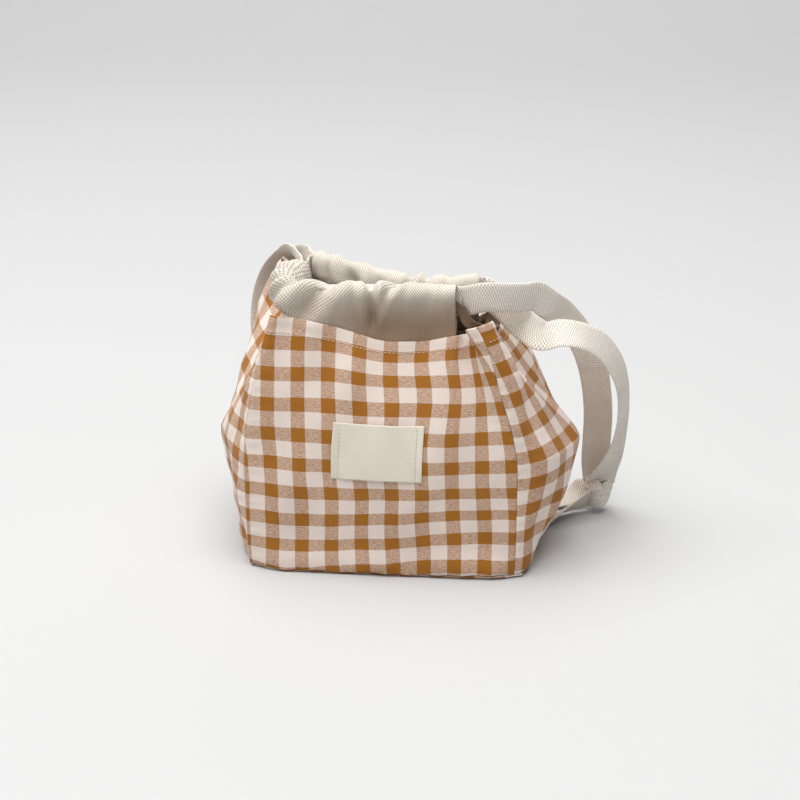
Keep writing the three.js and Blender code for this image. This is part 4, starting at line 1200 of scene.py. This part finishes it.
# Flat woven strap along an even route: a thin section with rounded selvedges
def strapPiece(node, route, startLength, cup, body=None, paintedShade=0.0):
    middle = route[:, :3]
    across = route[:, 3:6]
    share = route[:, 6:7]
    along = lengthsAlong(middle)
    forward = unit(np.gradient(middle, axis=0))
    across = unit(across - forward * dot(across, forward))
    facing = np.cross(forward, across)
    y, thick = strapEdge(webbing["acrossPoints"], 0.0)
    ridge = hump((np.abs(y) - webbing["selvedgeAt"]) / webbing["selvedgeSpread"])
    thick = thick + webbing["selvedge"] * ridge * (np.abs(y) < webbing["selvedgeEnd"])
    thick = np.maximum(thick, webbing["thinnest"])
    loopY = np.concatenate([y, y[::-1]])
    loopThick = np.concatenate([thick, -thick[::-1]])
    fromStart = smoothRise(0, webbing["endFade"], along)
    fromEnd = smoothRise(along[-1], along[-1] - webbing["endFade"], along)
    cupped = np.sin(along / webbing["cupWave"] + webbing["cupStart"]) * (fromStart * fromEnd)
    hollow = cup * (1 - loopY ** 2) * cupped[:, None]
    sections = pointsAbout(middle, across, facing, loopY * share * webbing["width"] / 2, loopThick + hollow)
    places = flatPlaces(loopY * webbing["width"] / 2 + webbing["flatMiddle"], along[:, None] + startLength)
    # Painted shade on the bunched webbing inside the mouth and along a strand's first stretch
    paintedShadeShare = smoothRise(*webbing["paintedShadeShare"], share)
    paintedShadeShare = paintedShadeShare + paintedShade * (fromStart * smoothRise(*webbing["paintedShadeEnd"], along))[:, None]
    seamsAndShade = flatPlaces(0 * loopY, paintedShadeShare).reshape(-1, 2)
    piece = dress(node, "webbing", sweptCloth(sections, places), webbingCloth, body, seamsAndShade)
    for face in piece.data.polygons[-2 * (webbing["acrossPoints"] - 1):]:  # the two cut ends
        face.use_smooth = False
    return piece


def splitRoute(route, at):
    along = lengthsAlong(route[:, :3])
    cut = int(np.searchsorted(along, at))
    return route[:cut + 1], route[cut:]


# The whole run: out of the first channel, round its return and through the second
def runRows(first, turn, second):
    leave = onward(first[-1][0], first[-2][0], webbing["returnLead"])
    arrive = onward(second[0][0], second[1][0], webbing["returnLead"])
    return [*first, [leave, *first[-1][1:]], *turn, [arrive, upright], *second]


def strandRows(end, before, turns):
    return [[end, upright], [onward(end, before, webbing["lead"]), upright], *turns]


# Each strand starts at its splice, so far from the mouth. The places stay, slide, bendFrom and bendTo are
# given
# for the pull: where the run keeps still, where it slides out in full, and where a strand bends as its loop
# is lifted
drawstrings = {
    "right": {
        "run": runRows(channelLine("front", -1), leftReturn, channelLine("back", -1)),
        "stay": (-50, 0, 188), "slide": (46, 0, 188), "splice": {"front": 2.5, "back": 2.5},
        "bendFrom": {"front": (60, -30, 188), "back": (69.4, -20.4, 188)}, "bendTo": (100, 12, 188),
        "paintedShade": 0.0,
    },
    "left": {
        "run": runRows(
            [*channelLine("front", 1)[:0:-1], rightLeave], rightReturn, channelLine("back", 1)[::-1]),
        "stay": (-12.2, 29.6, 188), "slide": (-24.4, 59.2, 188), "splice": {"front": 38.0, "back": 22.5},
        "bendFrom": {"front": (-66.9, 41.8, 190), "back": (-66.9, 41.8, 190)}, "bendTo": (-84.8, 77.5, 190),
        # The left strands get painted shade near the mouth
        "paintedShade": 0.45,
    },
}


def addDrawstrings():
    for side, make in drawstrings.items():
        run = make["run"]
        nears = []
        strands = []
        for which, end, before in (("front", run[0], run[1]), ("back", run[-1], run[-2])):
            name = side + "_" + which
            splice = make["splice"][which]
            near, far = splitRoute(evenRoute(strandRows(end[0], before[0], strandTurns[name])), splice)
            nears.append(near)
            strand = strapPiece(name + "_strand", far, splice, webbing["cup"], paintedShade=make["paintedShade"])
            tailRoute = evenRoute(tailTurns[name])
            tail = strapPiece(name + "_tail", tailRoute, webbing["tailFrom"], webbing["cup"], side + "_loop")
            strands.append((which, strand, far, tail))
        whole = np.concatenate([nears[0][:0:-1], evenRoute(run), nears[1][1:]])
        runPiece = strapPiece(side + "_cord_run", whole, -make["splice"]["front"], 0.0)
        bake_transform(runPiece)
        knot = addKnot(side)
        for which, strand, far, tail in strands:
            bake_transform(strand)


# Knots: webbing bunched and wrapped round itself

knotMake = {
    "right": {"place": (143.5, 52.5, 16.8), "start": 0.6},
    "left": {"place": (-89.8, 87.5, 16.8), "start": 2.4},
    "turns": 1.7, "radius": (7.6, 7.0), "lobes": 3, "lobeSize": 0.12,
    "rise": 13.2, "tilt": 2.2, "tiltStart": 0.7,
    "width": 17.0, "endShare": 0.72, "points": 90, "acrossPoints": 15, "thinnest": 0.04,
    "bulge": 2.6, "sunk": 1.3, "crease": 0.5, "creaseTurn": 9, "layers": (-0.8, 0.9),
}


def addKnot(side):
    t = np.linspace(0, 1, knotMake["points"])
    angle = 2 * np.pi * knotMake["turns"] * t + knotMake[side]["start"]
    swell = 1 + knotMake["lobeSize"] * np.sin(knotMake["lobes"] * angle)
    x = knotMake["radius"][0] * swell * np.cos(angle)
    y = knotMake["radius"][1] * swell * np.sin(angle)
    z = knotMake["rise"] * (t - 0.5) + knotMake["tilt"] * np.sin(angle + knotMake["tiltStart"])
    line = np.asarray(knotMake[side]["place"], float) + np.stack([x, y, z], axis=-1)
    outward = unit(np.stack([np.cos(angle), np.sin(angle), 0 * angle], axis=-1))
    forward = unit(np.gradient(line, axis=0))
    across = unit(np.cross(outward, forward))
    edge, half = strapEdge(knotMake["acrossPoints"], knotMake["thinnest"])
    loopY = np.concatenate([edge, edge[::-1]])
    loopThick = np.concatenate([half, -half[::-1]])
    wide = knotMake["width"] * (knotMake["endShare"] + (1 - knotMake["endShare"]) * np.sin(np.pi * t))
    bulge = knotMake["bulge"] * (1 - loopY ** 2) - knotMake["sunk"]
    bulge = bulge + knotMake["crease"] * np.cos(loopY * knotMake["creaseTurn"])
    layer = np.linspace(*knotMake["layers"], len(t))[:, None]
    sections = pointsAbout(line, across, outward, loopY * wide[:, None] / 2, loopThick + bulge + layer)
    along = lengthsAlong(line)[:, None] + webbing["knotFrom"]
    places = flatPlaces(loopY * webbing["width"] / 2 + webbing["flatMiddle"], along)
    swept = sweptCloth(sections, places)
    return dress(side + "_knot", "webbing", swept, webbingCloth, side + "_loop")


addDrawstrings()
print("drawstrings made")


# Label and stitching

label = {
    "width": 60.0, "height": 40.0, "thickness": 0.5, "across": 0.474, "up": 0.515, "stitchInset": 4.5,
    "columns": 61, "rows": 41, "off": 0.35, "closest": 0.1, "dent": 0.25, "dentSpread": 1.3, "lift": 0.7,
    "turnedUnder": 0.35, "turnedSpread": 2.2,  # its two ends are folded under
    "fray": 0.12, "frayTurn": 1.9, "frayStray": (3, 0.7), "frayPower": 8,
    "ripple": 0.12, "rippleTurn": (0.33, 0.21),
}
stitching = {
    "length": 1.9, "gap": 0.8, "radius": 0.32, "sides": 6, "rings": 6, "off": 0.2,
    "bow": 0.3, "bowPower": 0.7, "sunk": 0.2, "taper": (0.1, 0.4), "flatness": 0.8, "round": 0.3,
    "labelPoints": 60, "labelEnds": 1.5, "rimPoints": 240, "rimEnds": 0.012,
}
wallRise = bag["rimHeight"] - wallFoot


def addLabel():
    x = np.linspace(-0.5, 0.5, label["columns"])
    y = np.linspace(-0.5, 0.5, label["rows"])
    gridX, gridY = np.meshgrid(x * label["width"], y * label["height"], indexing="ij")
    fromMiddle = np.abs(gridY) / label["height"] * 2
    strayBy, strayTurn = label["frayStray"]
    fray = label["fray"] * np.sin(gridX * label["frayTurn"] + strayBy * np.sin(gridX * strayTurn))
    fray = fray * np.clip(fromMiddle, 0, 1) ** label["frayPower"]
    across = label["across"] + gridX / bag["baseWidth"]
    height = label["up"] + (gridY + fray) / wallRise
    fromEnd = np.abs(gridX) - label["width"] / 2
    dent = label["dent"] * hump((fromEnd + label["stitchInset"]) / label["dentSpread"])
    middleLift = label["lift"] * np.cos(np.pi * gridX / label["width"]) * fromMiddle ** 2
    fold = label["turnedUnder"] * hump(fromEnd / label["turnedSpread"])
    ripple = label["ripple"] * np.sin(gridX * label["rippleTurn"][0] + gridY * label["rippleTurn"][1])
    off = np.maximum(label["off"] + middleLift + fold - dent + ripple, label["closest"])
    under = clothPoint("front", across, height, -off)
    over = clothPoint("front", across, height, -off - label["thickness"])
    flat = np.stack([gridX, gridY], axis=-1)
    swept = sweptCloth(thereAndBack(over, under), thereAndBack(flat, flat))
    piece = dress("label", "cloth", swept, labelCloth, "bag")


# A row of single stitches along a line on the cloth; each bows up and dips in at its ends
def stitchRow(name, line, outward, material):
    along = lengthsAlong(line)
    pitch = stitching["length"] + stitching["gap"]
    count = int(along[-1] // pitch)
    start = (along[-1] - count * pitch) / 2
    sides = stitching["sides"]
    rings = np.linspace(0, 1, stitching["rings"])
    turn = np.linspace(0, 2 * np.pi, sides, endpoint=False)
    bow = stitching["bow"] * np.sin(np.pi * rings) ** stitching["bowPower"] - stitching["sunk"]
    taperEnd, taperPower = stitching["taper"]
    full = np.sin(np.pi * (taperEnd + (1 - 2 * taperEnd) * rings))
    fat = stitching["radius"] * np.clip(full, 0, 1)[:, None] ** taperPower
    points, faces, places = [], [], []
    for k in range(count):
        at = start + k * pitch + stitching["gap"] / 2 + rings * stitching["length"]
        middle = pickAt(at, along, line)
        lift = unit(pickAt(at, along, outward))
        forward = unit(np.gradient(middle, axis=0))
        side = unit(np.cross(forward, lift))
        ring = pointsAbout(
            middle + lift * bow[:, None], side, lift,
            fat * np.cos(turn), fat * np.sin(turn) * stitching["flatness"])
        base = len(points)
        points.extend(ring.reshape(-1, 3))
        places.extend(flatPlaces(turn * stitching["round"], at[:, None]).reshape(-1, 2))
        for i in range(len(rings) - 1):
            for j in range(sides):
                a = base + i * sides + j
                b = base + i * sides + (j + 1) % sides
                faces.append((a, a + sides, b + sides, b))
        faces.append(tuple(base + j for j in range(sides)))
        last = base + (len(rings) - 1) * sides
        faces.append(tuple(last + j for j in range(sides - 1, -1, -1)))
    dress(name, "stitches", (np.asarray(points), faces, places), material, "bag")


def addStitching():
    fromMiddle = (label["width"] / 2 - label["stitchInset"]) / bag["baseWidth"]
    off = label["off"] + label["thickness"] - label["dent"] + stitching["off"]
    reach = (label["height"] - stitching["labelEnds"]) / wallRise
    up = np.linspace(-0.5, 0.5, stitching["labelPoints"]) * reach + label["up"]
    for side, sign in (("left", -1), ("right", 1)):
        across = np.full_like(up, label["across"] + sign * fromMiddle)
        line = clothPoint("front", across, up, -off)
        stitchRow("label_thread_" + side, line, -wallInward("front", across, up), labelThread)
    for name in wallOrder:
        across = np.linspace(stitching["rimEnds"], 1 - stitching["rimEnds"], stitching["rimPoints"])
        height = np.full_like(across, heightBelowRim(name, relief["stitchDrop"]))
        line = clothPoint(name, across, height, -stitching["off"])
        stitchRow("rim_thread_" + name, line, -wallInward(name, across, height), rimThread)


addLabel()
addStitching()
print("label and stitching made")


# Floor, backdrop and light

studio = {
    "floorTone": (0.54, 0.54, 0.54), "wallTone": (0.95, 0.95, 0.95), "toneRise": 0.6,
    "roughness": 0.9, "specular": 0.1, "worldTone": (1, 1, 1), "worldStrength": 0.16,
    "backAt": 1.5, "curve": 1.0, "curveSteps": 16, "reach": 4.0, "wallTop": 3.2,
}


def addStage():
    material = bpy.data.materials.new("paleSweep")
    material.use_nodes = True
    tree = material.node_tree
    shader = tree.nodes["Principled BSDF"]
    where = splitPlace(tree, put(tree, "ShaderNodeTexCoord").outputs["Object"])
    risen = between(tree, where["Z"], 0.0, studio["toneRise"])
    shade = mixTones(tree, risen, tone(studio["floorTone"]), tone(studio["wallTone"]))
    tree.links.new(shade, shader.inputs["Base Color"])
    shader.inputs["Roughness"].default_value = studio["roughness"]
    shader.inputs["Specular IOR Level"].default_value = studio["specular"]
    curve = studio["curve"]
    profile = [(-studio["reach"], 0.0)]
    for angle in np.radians(np.linspace(0, 90, studio["curveSteps"])):
        profile.append((studio["backAt"] + curve * math.sin(angle), curve * (1 - math.cos(angle))))
    profile.append((studio["backAt"] + curve, studio["wallTop"]))
    points = [(x, y, z) for x in (-studio["reach"], studio["reach"]) for y, z in profile]
    count = len(profile)
    faces = [(i, i + count, i + count + 1, i + 1) for i in range(count - 1)]
    mesh = bpy.data.meshes.new("floor")
    mesh.from_pydata(points, [], faces)
    mesh.polygons.foreach_set("use_smooth", [True] * len(mesh.polygons))
    mesh.materials.append(material)
    floor = bpy.data.objects.new("floor", mesh)
    scene.collection.objects.link(floor)


# Soft boxes: place, aim, size and power in watts
softBoxes = {
    "overhead": {"place": (-0.35, -0.35, 2.5), "aim": (0, 0, 0.1), "size": 3.0, "power": 132.0},
    "frontLeft": {"place": (-1.5, -1.6, 1.3), "aim": (0, 0, 0.1), "size": 1.2, "power": 1.2},
    "frontRight": {"place": (1.6, -1.2, 1.2), "aim": (0, 0, 0.1), "size": 1.2, "power": 0.8},
}


def addLight():
    for name, box in softBoxes.items():
        data = bpy.data.lights.new(name, "AREA")
        data.size = box["size"]
        data.energy = box["power"]
        lamp = bpy.data.objects.new(name, data)
        aimAt(lamp, box["place"], box["aim"])
        scene.collection.objects.link(lamp)
    world = bpy.data.worlds.new("paleRoom")
    scene.world = world
    world.use_nodes = True
    background = world.node_tree.nodes["Background"]
    background.inputs["Color"].default_value = tone(studio["worldTone"])
    background.inputs["Strength"].default_value = studio["worldStrength"]


addStage()
addLight()
scene.view_settings.view_transform = "Standard"
print("stage and light made")
